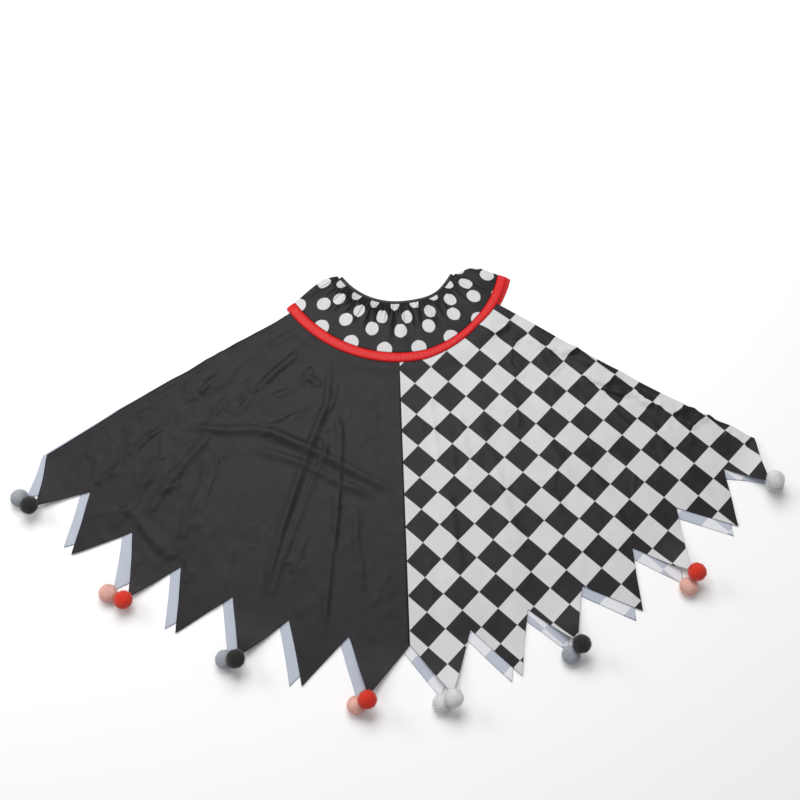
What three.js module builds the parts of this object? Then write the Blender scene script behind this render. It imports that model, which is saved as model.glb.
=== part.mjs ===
// A clown cape laid flat on its back: two front panels lie on two back panels, the round collar is folded
// at the shoulders with its front half on top and its back half underneath, and every second point of the
// zigzag hem carries a pompon. Millimetres, +X to the cape's right as it lies, +Y towards the neck, +Z up.
import * as THREE from "three";

// ---------------------------------------------------------------- driving dimensions
const CLOTH = 1.2; // wall of a satin panel
const SEAM_GAP = 0.3; // between pieces that are sewn or lie on each other
const NECK_CENTRE_Y = 80; // the neck's circle sits this far above the hem's circle
const NECK_RADIUS = 134.5; // open edge of the neckline
const NECK_BULGE = { at: 33, out: 6, spread: 16 }; // it lies wider on the right: degrees, mm, degrees
const CASING_WIDTH = 8; // elastic casing round the neck
const CASING_DEPTH = 3.2;
const CASING_HALF_ANGLE = 56.5;
const PANEL_HALF_ANGLE = 52; // where a side fold meets the casing
const BACK_COLLAR_DEPTH = 1.5;
const BACK_BINDING_DEPTH = 2;
const FRONT_BINDING_DEPTH = 2.6;
const BINDING_CROWN = 0.6; // the front binding is rounder in its middle
const POMPON_RADIUS = 19;
const POMPON_HALF_HEIGHT = 15; // the balls are soft, so they sit a little flat
const POINT_TUCK = 10; // a point ends this far short of its pompon's middle, under the ball
const TIP_CLEARANCE = 0.9; // from the ball's underside to the cloth tucked below it
const BACK_HEM_TURN = -1.45; // the back layer lies turned by this many degrees at the hem
const BACK_HEM_EXTRA = 6; // and reaches this much further
const LIFT_START = 745; // a front point that carries a pompon starts to rise here
const SIDE_FOLD_BOW = 6; // the side folds bow by this much, out on the left and in on the right

// Circles about the neck on which the panels cross the collar below or above them.
const COLLAR_ROWS = [190, 235, 277];
const STEP_END = 312; // from here on the back panels lie on the floor
const FRONT_SHARES = [0.14, 0.28, 0.42, 0.56, 0.69, 0.8, 0.9, 1];
const BACK_SHARES = [0.25, 0.5, 0.75, 1];

// The hem. A row is one point: where it lies in front (degrees from straight down, and millimetres from the
// hem's centre, to the pompon's middle if it has one), then how far the back layer's point is turned and
// longer, then the height of the front pompon's middle, and both colours. Flat points have no colours.
const POINTS = [
  { at: -56.2, reach: 871, turn: -2.0, extra: 9, height: 32.0, front: "black", back: "grey" },
  { at: -48.1, reach: 865, turn: BACK_HEM_TURN, extra: 2 },
  { at: -38.4, reach: 863, turn: -2.3, extra: 7, height: 26.2, front: "red", back: "pink" },
  { at: -30.8, reach: 859, turn: BACK_HEM_TURN, extra: 3 },
  { at: -22.0, reach: 861, turn: -1.5, extra: 4, height: 39.0, front: "black", back: "grey" },
  { at: -13.5, reach: 870, turn: BACK_HEM_TURN, extra: 5 },
  { at: -5.3, reach: 885, turn: -1.3, extra: 7, height: 40.2, front: "red", back: "pink" },
  { at: 4.9, reach: 887, turn: -1.4, extra: 3, height: 40.0, front: "white", back: "white" },
  { at: 13.8, reach: 865, turn: BACK_HEM_TURN, extra: 7 },
  { at: 21.8, reach: 853, turn: -1.5, extra: 7, height: 39.3, front: "black", back: "grey" },
  { at: 31.4, reach: 849, turn: BACK_HEM_TURN, extra: 9 },
  { at: 39.5, reach: 858, turn: -1.6, extra: 8, height: 38.0, front: "red", back: "pink" },
  { at: 48.8, reach: 856, turn: BACK_HEM_TURN, extra: 5 },
  { at: 55.9, reach: 866, turn: 0.3, extra: 4, height: 45.0, front: "white", back: "white" },
];

// The notches between neighbouring points; the middle one is the foot of the centre seam.
const NOTCHES = [
  { at: -53.7, reach: 761 },
  { at: -44.6, reach: 753 },
  { at: -35.4, reach: 747 },
  { at: -26.4, reach: 749 },
  { at: -17.5, reach: 754 },
  { at: -8.6, reach: 763 },
  { at: 0, reach: 775 },
  { at: 8.7, reach: 758 },
  { at: 17.5, reach: 749 },
  { at: 26.3, reach: 750 },
  { at: 35.9, reach: 741 },
  { at: 45.3, reach: 743 },
  { at: 54.8, reach: 772 },
];
const CENTRE_NOTCH = 6; // index of the seam's foot
const SIDE_CORNERS = {
  front: { left: { at: -62.2, reach: 795 }, right: { at: 61.2, reach: 797 } },
  back: { left: { at: -62.6, reach: 803 }, right: { at: 61.2, reach: 797 } },
};

// The collar's outline about the neck's centre: at each angle, how far the binding's outer edge reaches in
// front and at the back, and how wide the front binding shows.
const COLLAR_REACH = [
  { angle: -60, front: 271, back: 266, binding: 22 },
  { angle: -40, front: 271, back: 266, binding: 22 },
  { angle: -20, front: 272, back: 266, binding: 21 },
  { angle: 0, front: 274, back: 266, binding: 21 },
  { angle: 12, front: 274, back: 266, binding: 20 },
  { angle: 25, front: 266, back: 262, binding: 17 },
  { angle: 40, front: 256, back: 258, binding: 15 },
  { angle: 55, front: 254, back: 260, binding: 20 },
  { angle: 70, front: 247, back: 254, binding: 21 },
];
// The collar's shoulder folds: at each radius from the neck's centre, the angle of the left and right fold.
const COLLAR_FOLDS = [
  { radius: 135, left: -58.4, right: 55.5 },
  { radius: 150, left: -60.2, right: 60.5 },
  { radius: 172, left: -62, right: 67 },
  { radius: 200, left: -60.8, right: 69.7 },
  { radius: 240, left: -58.8, right: 69.4 },
  { radius: 275, left: -57.8, right: 69.2 },
];
const GATHERS = 26; // pleats that show across the front collar
const GATHER_ROWS = [
  { share: 0, height: 1.6 },
  { share: 0.18, height: 3.6 },
  { share: 0.45, height: 4 },
  { share: 0.75, height: 2.6 },
  { share: 1, height: 1 },
];
const FLAP_EDGE = 0.7; // degrees by which the collar clears the side folds before it turns down

// The largest folds in the front panels: from one end to the other, how high and how wide they stand.
const FOLDS = [
  { x1: -445, y1: -315, x2: -180, y2: -365, rise: 4.5, width: 34 },
  { x1: -180, y1: -365, x2: -20, y2: -440, rise: 4, width: 34 },
  { x1: -310, y1: -370, x2: -50, y2: -490, rise: 3.5, width: 30 },
  { x1: -145, y1: -285, x2: -220, y2: -485, rise: 4, width: 32 },
  { x1: -220, y1: -485, x2: -275, y2: -685, rise: 3.5, width: 32 },
  { x1: -125, y1: -325, x2: -135, y2: -565, rise: 3.5, width: 30 },
  { x1: -135, y1: -565, x2: -160, y2: -700, rise: 3, width: 32 },
  { x1: -210, y1: -240, x2: -335, y2: -305, rise: 3.5, width: 36 },
  { x1: -365, y1: -355, x2: -415, y2: -550, rise: 3.5, width: 34 },
  { x1: -385, y1: -365, x2: -490, y2: -510, rise: 3, width: 34 },
  { x1: 330, y1: -215, x2: 620, y2: -370, rise: 3, width: 36 },
  { x1: 150, y1: -330, x2: 190, y2: -620, rise: 2.5, width: 40 },
  { x1: 300, y1: -330, x2: 420, y2: -560, rise: 2.5, width: 40 },
];
const FOLD_FADE = 70; // the folds grow to full height over this distance beyond the collar

const COLOURS = {
  black_satin: 0x2b292c,
  check_satin: 0xa9a8a8,
  dotted_satin: 0x343236,
  red_binding: 0xd02424,
  black_elastic: 0x1e1d20,
  pompon_black: 0x2a282b,
  pompon_red: 0xdb3220,
  pompon_white: 0xe6e5e2,
  pompon_grey: 0xa9adb4,
  pompon_pink: 0xe8bcaf,
};

// ---------------------------------------------------------------- small helpers
const { clamp, degToRad, radToDeg, lerp } = THREE.MathUtils;
const share = (value, from, to) => clamp((value - from) / (to - from), 0, 1);

// A point at an angle from straight down, about the hem's centre or another centre on the seam line.
const polar = (angle, radius, centreY = 0) =>
  new THREE.Vector2(
    radius * Math.sin(degToRad(angle)),
    centreY - radius * Math.cos(degToRad(angle)),
  );
const aboutNeck = (angle, radius) => polar(angle, radius, NECK_CENTRE_Y);
const neckAngle = (p) => radToDeg(Math.atan2(p.x, NECK_CENTRE_Y - p.y));
const neckRadius = (p) => Math.hypot(p.x, NECK_CENTRE_Y - p.y);

// Reads a table between its rows: the value of one column where another has the given value.
function lookUp(table, key, at, column) {
  const next = table.findIndex((row) => row[key] >= at);
  if (next <= 0) return table.at(next === 0 ? 0 : -1)[column];
  const [low, high] = [table[next - 1], table[next]];
  return lerp(low[column], high[column], share(at, low[key], high[key]));
}

// The neckline's radius at an angle, and the radius at which the panels and the collar begin.
const neckline = (angle) =>
  NECK_RADIUS + NECK_BULGE.out * Math.exp(-(((angle - NECK_BULGE.at) / NECK_BULGE.spread) ** 2));
const casingEdge = (angle) => neckline(angle) + CASING_WIDTH + SEAM_GAP;

// A closed wall over a grid of { x, y, low, high } spots. Rows run outwards and columns to the right.
function wall(grid) {
  const columns = grid[0].length;
  const spots = grid.flat();
  const vertices = [...spots.map((s) => [s.x, s.y, s.high]), ...spots.map((s) => [s.x, s.y, s.low])];
  const faces = [];
  const under = spots.length;
  const at = (row, column) => row * columns + column;
  for (let row = 0; row + 1 < grid.length; row++) {
    for (let column = 0; column + 1 < columns; column++) {
      const [a, b] = [at(row, column), at(row + 1, column)];
      const [c, d] = [at(row + 1, column + 1), at(row, column + 1)];
      faces.push([a, b, c], [a, c, d], [under + a, under + c, under + b], [under + a, under + d, under + c]);
    }
  }
  const last = grid.length - 1;
  const rim = [
    ...grid.map((_, row) => at(row, 0)),
    ...grid[0].map((_, column) => at(last, column)).slice(1),
    ...grid.map((_, row) => at(last - row, columns - 1)).slice(1),
    ...grid[0].map((_, column) => at(0, columns - 1 - column)).slice(1, -1),
  ];
  rim.forEach((here, i) => {
    const next = rim[(i + 1) % rim.length];
    faces.push([under + here, under + next, next], [under + here, next, here]);
  });
  const geometry = new THREE.BufferGeometry();
  geometry.setAttribute("position", new THREE.Float32BufferAttribute(vertices.flat(), 3));
  geometry.setIndex(faces.flat());
  geometry.computeVertexNormals();
  return geometry;
}

const cape = new THREE.Group();

// Adds one named piece in its finish.
function add(name, finish, geometry) {
  const material = new THREE.MeshStandardMaterial({ color: COLOURS[finish], roughness: 0.6, metalness: 0 });
  const mesh = new THREE.Mesh(geometry, material);
  mesh.name = name;
  cape.add(mesh);
  return mesh;
}

// ---------------------------------------------------------------- how the layers lie on each other
const COLLAR_STEP = BACK_BINDING_DEPTH + SEAM_GAP;
// Underside of the back panels: on the floor, and up over the back collar.
const backLow = (p) => COLLAR_STEP * (1 - share(neckRadius(p), COLLAR_ROWS.at(-1), STEP_END));
// Underside of the front panels, without their folds.
const frontLow = (p) => backLow(p) + CLOTH + SEAM_GAP;
// Underside of the front collar where it lies on the front panels.
const FRONT_COLLAR_LOW = COLLAR_STEP + 2 * (CLOTH + SEAM_GAP);
// The front collar's own edges turn down to here at the shoulder folds, just clear of the back collar.
const SHOULDER_LOW = COLLAR_STEP + SEAM_GAP;

// Height of one fold at a point: a soft ridge that dies away to the sides and past its ends.
function foldHeight(fold, p) {
  const start = new THREE.Vector2(fold.x1, fold.y1);
  const run = new THREE.Vector2(fold.x2, fold.y2).sub(start);
  const along = clamp(p.clone().sub(start).dot(run) / run.lengthSq(), 0, 1);
  const away = p.distanceTo(start.addScaledVector(run, along)) / fold.width;
  return fold.rise * Math.exp(-away * away);
}

// All folds together: the tallest counts where they cross, and none reaches under the collar.
function foldsAt(p) {
  const tallest = Math.max(...FOLDS.map((fold) => foldHeight(fold, p)));
  return tallest * share(neckRadius(p), STEP_END, STEP_END + FOLD_FADE);
}

// ---------------------------------------------------------------- panels
// The height that a front point climbs to, under its pompon.
function liftOf(point) {
  const ballUnderside = Math.sqrt(1 - (POINT_TUCK / POMPON_RADIUS) ** 2) * POMPON_HALF_HEIGHT;
  return point.height - ballUnderside - TIP_CLEARANCE - CLOTH - CLOTH - SEAM_GAP;
}

// Hem vertices of one layer from the left corner to the right one, each with the lift at its tip.
function hemOf(layer) {
  const back = layer === "back";
  const spot = (row, turn, extra, tuck, lift) => ({
    ...polar(row.at + turn, row.reach + extra - tuck),
    reach: row.reach,
    lift,
  });
  const corners = SIDE_CORNERS[layer];
  const hem = [spot(corners.left, 0, 0, 0, 0)];
  POINTS.forEach((point, i) => {
    const tuck = point.front ? POINT_TUCK : 0;
    const lift = point.front && !back ? liftOf(point) : 0;
    hem.push(spot(point, back ? point.turn : 0, back ? point.extra : 0, tuck, lift));
    if (NOTCHES[i]) {
      hem.push(spot(NOTCHES[i], back ? BACK_HEM_TURN : 0, back ? BACK_HEM_EXTRA : 0, 0, 0));
    }
  });
  hem.push(spot(corners.right, 0, 0, 0, 0));
  return hem;
}

// Where the straight line from a to b crosses the circle of the given radius about the neck.
function crossing(a, b, radius) {
  const from = new THREE.Vector2(a.x, a.y - NECK_CENTRE_Y);
  const run = new THREE.Vector2(b.x - a.x, b.y - a.y);
  const half = from.dot(run) / run.lengthSq();
  const rest = (from.lengthSq() - radius * radius) / run.lengthSq();
  const t = Math.sqrt(Math.max(0, half * half - rest)) - half;
  return new THREE.Vector2(a.x + run.x * t, a.y + run.y * t);
}

const FOOT_ROW = COLLAR_ROWS.length + 1; // the row of a panel at which the collar's step ends

// One panel: its columns run straight from the casing to the hem's vertices, and on a front panel to the
// middles between them too. side is -1 for the left panel and 1 for the right one.
function panel(layer, side) {
  const hem = hemOf(layer);
  const seam = 2 * CENTRE_NOTCH + 2;
  const half = side < 0 ? hem.slice(0, seam + 1) : hem.slice(seam);
  const vertices = layer === "back" ? half : half.flatMap((spot, i) => (i ? [middle(half[i - 1], spot), spot] : [spot]));
  const shares = layer === "back" ? BACK_SHARES : FRONT_SHARES;
  const seamEnd = side < 0 ? vertices.length - 1 : 0;
  const columns = vertices.map((end, i) => {
    const turned = PANEL_HALF_ANGLE * (side < 0 ? i / seamEnd - 1 : i / (vertices.length - 1));
    const start = aboutNeck(turned, casingEdge(turned));
    const inner = [start, ...COLLAR_ROWS.map((radius) => crossing(start, end, radius))];
    const foot = crossing(start, end, STEP_END);
    const outer = shares.map((s) => new THREE.Vector2(lerp(foot.x, end.x, s), lerp(foot.y, end.y, s)));
    const line = [...inner, foot, ...outer];
    const fold = i !== seamEnd && (i === 0 || i === vertices.length - 1);
    if (fold) bow(line, start, end);
    return line.map((p, row) => {
      const atSeam = i === seamEnd ? (side * SEAM_GAP) / 2 : 0;
      const outerShare = row < FOOT_ROW + 1 ? 0 : shares[row - FOOT_ROW - 1];
      const rise = layer === "back" ? 0 : foldsAt(p) + liftAt(p, end, outerShare);
      const low = (layer === "back" ? backLow(p) : frontLow(p)) + rise;
      return { x: p.x + atSeam, y: p.y, low, high: low + CLOTH };
    });
  });
  return wall(columns[0].map((_, row) => columns.map((column) => column[row])));
}

// Halfway along a hem edge between a notch and a point.
function middle(a, b) {
  return { x: (a.x + b.x) / 2, y: (a.y + b.y) / 2, reach: (a.reach + b.reach) / 2, lift: 0.12 * (a.lift + b.lift) };
}

// Bows a side fold away from the straight line beyond the collar.
function bow(line, start, end) {
  const across = new THREE.Vector2(end.y - start.y, start.x - end.x).normalize();
  const out = across.y > 0 ? across : across.negate();
  const way = end.x < 0 ? 1 : -1;
  line.slice(FOOT_ROW + 1).forEach((p, i, outer) => {
    const s = (i + 1) / outer.length;
    p.addScaledVector(out, way * SIDE_FOLD_BOW * Math.sin(Math.PI * s));
  });
}

// How far a front point has climbed towards its pompon at this spot of the column that ends there.
function liftAt(p, end, outerShare) {
  if (!end.lift) return 0;
  const climb = share(p.length(), LIFT_START, Math.hypot(end.x, end.y));
  return outerShare === 1 ? end.lift : end.lift * climb ** 3;
}

add("front_black", "black_satin", panel("front", -1));
add("front_check", "check_satin", panel("front", 1));
add("back_black", "black_satin", panel("back", -1));
add("back_check", "check_satin", panel("back", 1));

// ---------------------------------------------------------------- collar, binding and casing
// Angle of a panel's side fold on a circle about the neck.
function sideFoldAngle(side, radius) {
  const corner = side < 0 ? SIDE_CORNERS.back.left : SIDE_CORNERS.back.right;
  const start = aboutNeck(side * PANEL_HALF_ANGLE, casingEdge(side * PANEL_HALF_ANGLE));
  return neckAngle(crossing(start, polar(corner.at, corner.reach), Math.max(radius, neckRadius(start))));
}

// The collar's columns at one radius, from the left shoulder fold to the right one. Between the panels' side
// folds they are even, and past them they run out over the flaps that hang over the shoulders.
function collarAngles(radius, evenColumns, leftFlap, rightFlap) {
  const left = sideFoldAngle(-1, radius) - FLAP_EDGE;
  const right = sideFoldAngle(1, radius) + FLAP_EDGE;
  const outerLeft = lookUp(COLLAR_FOLDS, "radius", radius, "left");
  const outerRight = lookUp(COLLAR_FOLDS, "radius", radius, "right");
  const spread = (from, to, count) => Array.from({ length: count + 1 }, (_, i) => lerp(from, to, i / count));
  const angles = [
    ...spread(outerLeft, left, leftFlap).slice(0, -1),
    ...spread(left, right, evenColumns),
    ...spread(right, outerRight, rightFlap).slice(1),
  ];
  const overhang = angles.map((_, i) => {
    if (i < leftFlap) return 1 - i / leftFlap;
    return Math.max(0, (i - leftFlap - evenColumns) / rightFlap);
  });
  return { angles, overhang };
}

// A ring piece of the collar. Each row gives its radius at an angle, its depth, and its pleats' height.
function collarPiece(rows, evenColumns, lowAt) {
  const [leftFlap, rightFlap] = [2, 3];
  return wall(
    rows.map((row) => {
      const { angles, overhang } = collarAngles(row.nominal, evenColumns, leftFlap, rightFlap);
      return angles.map((angle, i) => {
        const p = aboutNeck(angle, row.radius(angle));
        const ridge = i % 2 ? 0.65 + 0.35 * Math.sin(1.7 * i) : 0;
        const low = lowAt(overhang[i]) + row.pleat * ridge;
        return { x: p.x, y: p.y, low, high: low + row.depth };
      });
    }),
  );
}

const frontReach = (angle) => lookUp(COLLAR_REACH, "angle", angle, "front");
const backReach = (angle) => lookUp(COLLAR_REACH, "angle", angle, "back");
const bindingWidth = (angle) => lookUp(COLLAR_REACH, "angle", angle, "binding");
const NOMINAL_REACH = 252; // where the collar's cloth meets the binding
const frontCollarLow = (overhang) => lerp(FRONT_COLLAR_LOW, SHOULDER_LOW, overhang);
const backCollarLow = () => 0;

// Rows of collar cloth from the casing to the binding, at the given shares of the way.
const clothRows = (rows, reach, width, depth) =>
  rows.map((row) => ({
    nominal: lerp(casingEdge(0), NOMINAL_REACH, row.share),
    radius: (angle) => lerp(casingEdge(angle), reach(angle) - width(angle) - SEAM_GAP, row.share),
    pleat: row.height,
    depth,
  }));

// Rows across a binding from its inner to its outer edge.
const bindingRows = (shares, reach, width, depth, crown) =>
  shares.map((s) => ({
    nominal: lerp(NOMINAL_REACH, COLLAR_FOLDS.at(-1).radius, s),
    radius: (angle) => reach(angle) - width(angle) * (1 - s),
    pleat: 0,
    depth: depth + crown * Math.sin(Math.PI * s),
  }));

const flatRows = [0, 0.35, 0.7, 1].map((s) => ({ share: s, height: 0 }));
const FRONT_COLUMNS = 2 * GATHERS;
const BACK_COLUMNS = 28;
add(
  "collar_front",
  "dotted_satin",
  collarPiece(clothRows(GATHER_ROWS, frontReach, bindingWidth, CLOTH), FRONT_COLUMNS, frontCollarLow),
);
add(
  "collar_back",
  "dotted_satin",
  collarPiece(clothRows(flatRows, backReach, bindingWidth, BACK_COLLAR_DEPTH), BACK_COLUMNS, backCollarLow),
);
add(
  "binding_front",
  "red_binding",
  collarPiece(
    bindingRows([0, 0.5, 1], frontReach, bindingWidth, FRONT_BINDING_DEPTH, BINDING_CROWN),
    BACK_COLUMNS,
    frontCollarLow,
  ),
);
add(
  "binding_back",
  "red_binding",
  collarPiece(bindingRows([0, 1], backReach, bindingWidth, BACK_BINDING_DEPTH, 0), BACK_COLUMNS, backCollarLow),
);

// The elastic casing is one flat rounded band round the neck in each layer.
function casing(low) {
  const sections = [
    { share: 0, depth: 0.7 },
    { share: 0.3, depth: 1 },
    { share: 0.7, depth: 1 },
    { share: 1, depth: 0.7 },
  ];
  const columns = 32;
  return wall(
    sections.map((section) =>
      Array.from({ length: columns + 1 }, (_, i) => {
        const angle = lerp(-CASING_HALF_ANGLE, CASING_HALF_ANGLE, i / columns);
        const p = aboutNeck(angle, neckline(angle) + CASING_WIDTH * section.share);
        return { x: p.x, y: p.y, low, high: low + CASING_DEPTH * section.depth };
      }),
    ),
  );
}
add("neck_casing_back", "black_elastic", casing(0));
add("neck_casing_front", "black_elastic", casing(CASING_DEPTH + SEAM_GAP));

// ---------------------------------------------------------------- pompons
const pomponShape = new THREE.SphereGeometry(POMPON_RADIUS, 12, 8)
  .rotateX(Math.PI / 2)
  .scale(1, 1, POMPON_HALF_HEIGHT / POMPON_RADIUS);

POINTS.filter((point) => point.front).forEach((point, i) => {
  const frontPlace = polar(point.at, point.reach);
  const backPlace = polar(point.at + point.turn, point.reach + point.extra);
  const front = add(`pompon_front_${i + 1}`, `pompon_${point.front}`, pomponShape.clone());
  front.position.set(frontPlace.x, frontPlace.y, point.height);
  const back = add(`pompon_back_${i + 1}`, `pompon_${point.back}`, pomponShape.clone());
  back.position.set(backPlace.x, backPlace.y, POMPON_HALF_HEIGHT);
});

// ---------------------------------------------------------------- the part's own frame
// The origin is the middle of the cape's outline, on the surface that it lies on.
const outline = new THREE.Box3().setFromObject(cape, true);
const centre = outline.getCenter(new THREE.Vector3());
cape.position.set(-centre.x, -centre.y, -outline.min.z);

export default cape;
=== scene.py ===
"""Looks of a clown cape laid flat: satin panels, a gathered dotted collar, red binding and pompons.

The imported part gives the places. The cape's own sizes are in millimetres about the middle of the circle
that its hem is cut on, with the centre seam running down -Y, and become metres where a mesh is made.
"""
import logging
import math
from dataclasses import dataclass, field
from enum import Enum
from typing import NamedTuple, Sequence

import bpy
import numpy as np
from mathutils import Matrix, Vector


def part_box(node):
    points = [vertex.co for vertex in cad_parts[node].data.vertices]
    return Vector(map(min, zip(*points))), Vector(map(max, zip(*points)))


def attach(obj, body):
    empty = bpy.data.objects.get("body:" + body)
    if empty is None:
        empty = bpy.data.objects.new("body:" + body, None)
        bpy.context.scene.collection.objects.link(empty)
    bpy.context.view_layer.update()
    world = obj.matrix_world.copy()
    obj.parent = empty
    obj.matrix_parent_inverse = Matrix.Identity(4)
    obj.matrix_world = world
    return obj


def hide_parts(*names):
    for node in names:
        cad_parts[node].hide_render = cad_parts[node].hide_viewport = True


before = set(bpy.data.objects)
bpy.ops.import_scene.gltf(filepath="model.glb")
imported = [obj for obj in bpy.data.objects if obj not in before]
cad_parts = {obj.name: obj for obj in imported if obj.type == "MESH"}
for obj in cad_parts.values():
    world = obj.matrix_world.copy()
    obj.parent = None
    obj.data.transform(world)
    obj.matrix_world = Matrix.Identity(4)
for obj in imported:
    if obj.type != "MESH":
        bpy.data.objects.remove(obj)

log = logging.getLogger("cape")

MM = 0.001
BODY = "root"
CLOTH = 0.8  # a satin shell's thickness
LAYER_GAP = 0.3  # between two cloths that lie on each other
CUT_MAP = "Cut"  # the UV map that holds where each point was on the flat cloth


# ---------------------------------------------------------------- named options
class Layer(Enum):
    """Which of the two layers of the flat cape a piece belongs to."""

    FRONT = "front"
    BACK = "back"


class Side(Enum):
    """Which half of the cape a panel is: black on the left and check on the right."""

    LEFT = "black"
    RIGHT = "check"


class Ball(Enum):
    """Colours of the pompons, as named by the part's finishes."""

    BLACK = "pompon_black"
    RED = "pompon_red"
    WHITE = "pompon_white"
    GREY = "pompon_grey"
    PINK = "pompon_pink"


# ---------------------------------------------------------------- small sums
def share(value: np.ndarray | float, low: float, high: np.ndarray | float) -> np.ndarray:
    """How far a value has come from low to high, from 0 to 1."""
    return np.clip((value - low) / (high - low), 0.0, 1.0)


def ease(value: np.ndarray | float) -> np.ndarray:
    """A share with soft ends."""
    held = np.clip(value, 0.0, 1.0)
    return held * held * (3.0 - 2.0 * held)


def polar(angle: np.ndarray | float, radius: np.ndarray | float, centre_y: float = 0.0) -> np.ndarray:
    """Spots at an angle from straight down, about a centre on the seam line.

    Args:
        angle: Degrees from -Y, growing towards +X.
        radius: Distance from the centre.
        centre_y: Where the centre lies on the seam line.

    Returns:
        An array with x and y in its last axis.
    """
    turn = np.radians(angle)
    return np.stack([radius * np.sin(turn), centre_y - radius * np.cos(turn)], axis=-1)


def curve_through(corners: Sequence[tuple[float, float]], step: float = 6.0) -> np.ndarray:
    """A smooth line through a few corners (Catmull-Rom).

    Args:
        corners: The spots that the line passes.
        step: About how far apart the spots of the result are.

    Returns:
        The line's spots, one row each.
    """
    spots = np.array(corners, float)
    if len(spots) < 3:
        return spots
    ends = np.vstack([2 * spots[0] - spots[1], spots, 2 * spots[-1] - spots[-2]])
    line = [spots[0]]
    for p0, p1, p2, p3 in zip(ends, ends[1:], ends[2:], ends[3:]):
        count = max(2, int(np.hypot(*(p2 - p1)) / step))
        for t in np.linspace(0.0, 1.0, count + 1)[1:]:
            bend = (2 * p0 - 5 * p1 + 4 * p2 - p3) * t * t + (3 * p1 - p0 - 3 * p2 + p3) * t**3
            line.append(0.5 * (2 * p1 + (p2 - p0) * t + bend))
    return np.array(line)


def nearest_on(spots: np.ndarray, line: np.ndarray) -> tuple[np.ndarray, np.ndarray, np.ndarray]:
    """Measures spots against a line.

    Args:
        spots: The spots, one row each.
        line: The line's own spots.

    Returns:
        Signed distance (left of the line is positive), share of the way along it, and the unit
        direction across it, for each spot.
    """
    best = np.full(len(spots), np.inf)
    signed = np.zeros(len(spots))
    along = np.zeros(len(spots))
    across = np.zeros((len(spots), 2))
    lengths = np.hypot(*np.diff(line, axis=0).T)
    travelled = np.concatenate([[0.0], np.cumsum(lengths)])
    for start, end, length, before in zip(line, line[1:], lengths, travelled):
        run = (end - start) / length
        rel = spots - start
        t = np.clip(rel @ run, 0.0, length)
        away = np.hypot(*(rel - t[:, None] * run).T)
        closer = away < best
        side = np.sign(run[0] * rel[:, 1] - run[1] * rel[:, 0])
        best[closer] = away[closer]
        signed[closer] = (side * away)[closer]
        along[closer] = ((before + t) / travelled[-1])[closer]
        across[closer] = (-run[1], run[0])
    return signed, along, across


# ---------------------------------------------------------------- where things are
@dataclass(frozen=True)
class Place:
    """The cape's own centre in the part's frame.

    Attributes:
        apex: Middle of the hem's circle, in metres, on the surface that the cape lies on.
    """

    apex: np.ndarray

    MARK = "pompon_front_4"
    MARK_ANGLE = -5.3
    MARK_REACH = 885.0

    @classmethod
    def from_frame(cls) -> "Place":
        """Finds the centre from the pompon that hangs beside the centre seam."""
        low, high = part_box(cls.MARK)
        middle = (np.array(low) + np.array(high)) / 2
        offset = polar(cls.MARK_ANGLE, cls.MARK_REACH) * MM
        return cls(np.array([middle[0] - offset[0], middle[1] - offset[1], 0.0]))

    def metres(self, spots: np.ndarray) -> np.ndarray:
        """Turns the cape's own millimetres into metres in the part's frame."""
        return np.asarray(spots, float) * MM + self.apex


@dataclass(frozen=True)
class NeckRing:
    """The circle that the neckline and the collar are laid out on.

    Attributes:
        centre_y: The neck's centre, above the hem's.
        radius: Open edge of the neckline.
        bulge_at: Angle at which the neckline lies a little wider.
        bulge_out: How much wider.
        bulge_spread: Over how many degrees.
        casing_width: Width of the elastic casing.
    """

    centre_y: float = 80.0
    radius: float = 134.5
    bulge_at: float = 33.0
    bulge_out: float = 6.0
    bulge_spread: float = 16.0
    casing_width: float = 8.0

    def edge(self, angle: np.ndarray | float) -> np.ndarray:
        """Radius of the open neckline at an angle."""
        return self.radius + self.bulge_out * np.exp(-(((angle - self.bulge_at) / self.bulge_spread) ** 2))

    def cloth_start(self, angle: np.ndarray | float) -> np.ndarray:
        """Radius at which panels and collar leave the casing."""
        return self.edge(angle) + self.casing_width + LAYER_GAP

    def spot(self, angle: np.ndarray | float, radius: np.ndarray | float) -> np.ndarray:
        """A spot about the neck's centre."""
        return polar(angle, radius, self.centre_y)

    def radius_of(self, spots: np.ndarray) -> np.ndarray:
        """Distance of spots from the neck's centre."""
        return np.hypot(spots[..., 0], self.centre_y - spots[..., 1])

    def angle_of(self, spots: np.ndarray) -> np.ndarray:
        """Angle of spots about the neck's centre, in degrees from straight down."""
        return np.degrees(np.arctan2(spots[..., 0], self.centre_y - spots[..., 1]))

    def crossing(self, start: np.ndarray, end: np.ndarray, radius: float) -> np.ndarray:
        """Share of the way from start to end at which the straight line crosses a circle about the neck."""
        origin = start - np.array([0.0, self.centre_y])
        run = end - start
        length = (run * run).sum(-1)
        half = (origin * run).sum(-1) / length
        rest = ((origin * origin).sum(-1) - radius * radius) / length
        return np.sqrt(np.maximum(0.0, half * half - rest)) - half


class HemPoint(NamedTuple):
    """One point of the zigzag hem.

    Fields: angle and reach from the hem's centre (to the pompon's middle if it has one), how far the back
    layer's point is turned and longer, and the height of the front pompon's middle.
    """

    at: float
    reach: float
    turn: float
    extra: float
    height: float = 0.0


class Notch(NamedTuple):
    """One inner corner of the zigzag hem: its angle and reach."""

    at: float
    reach: float


BACK_TURN = -1.45

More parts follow.
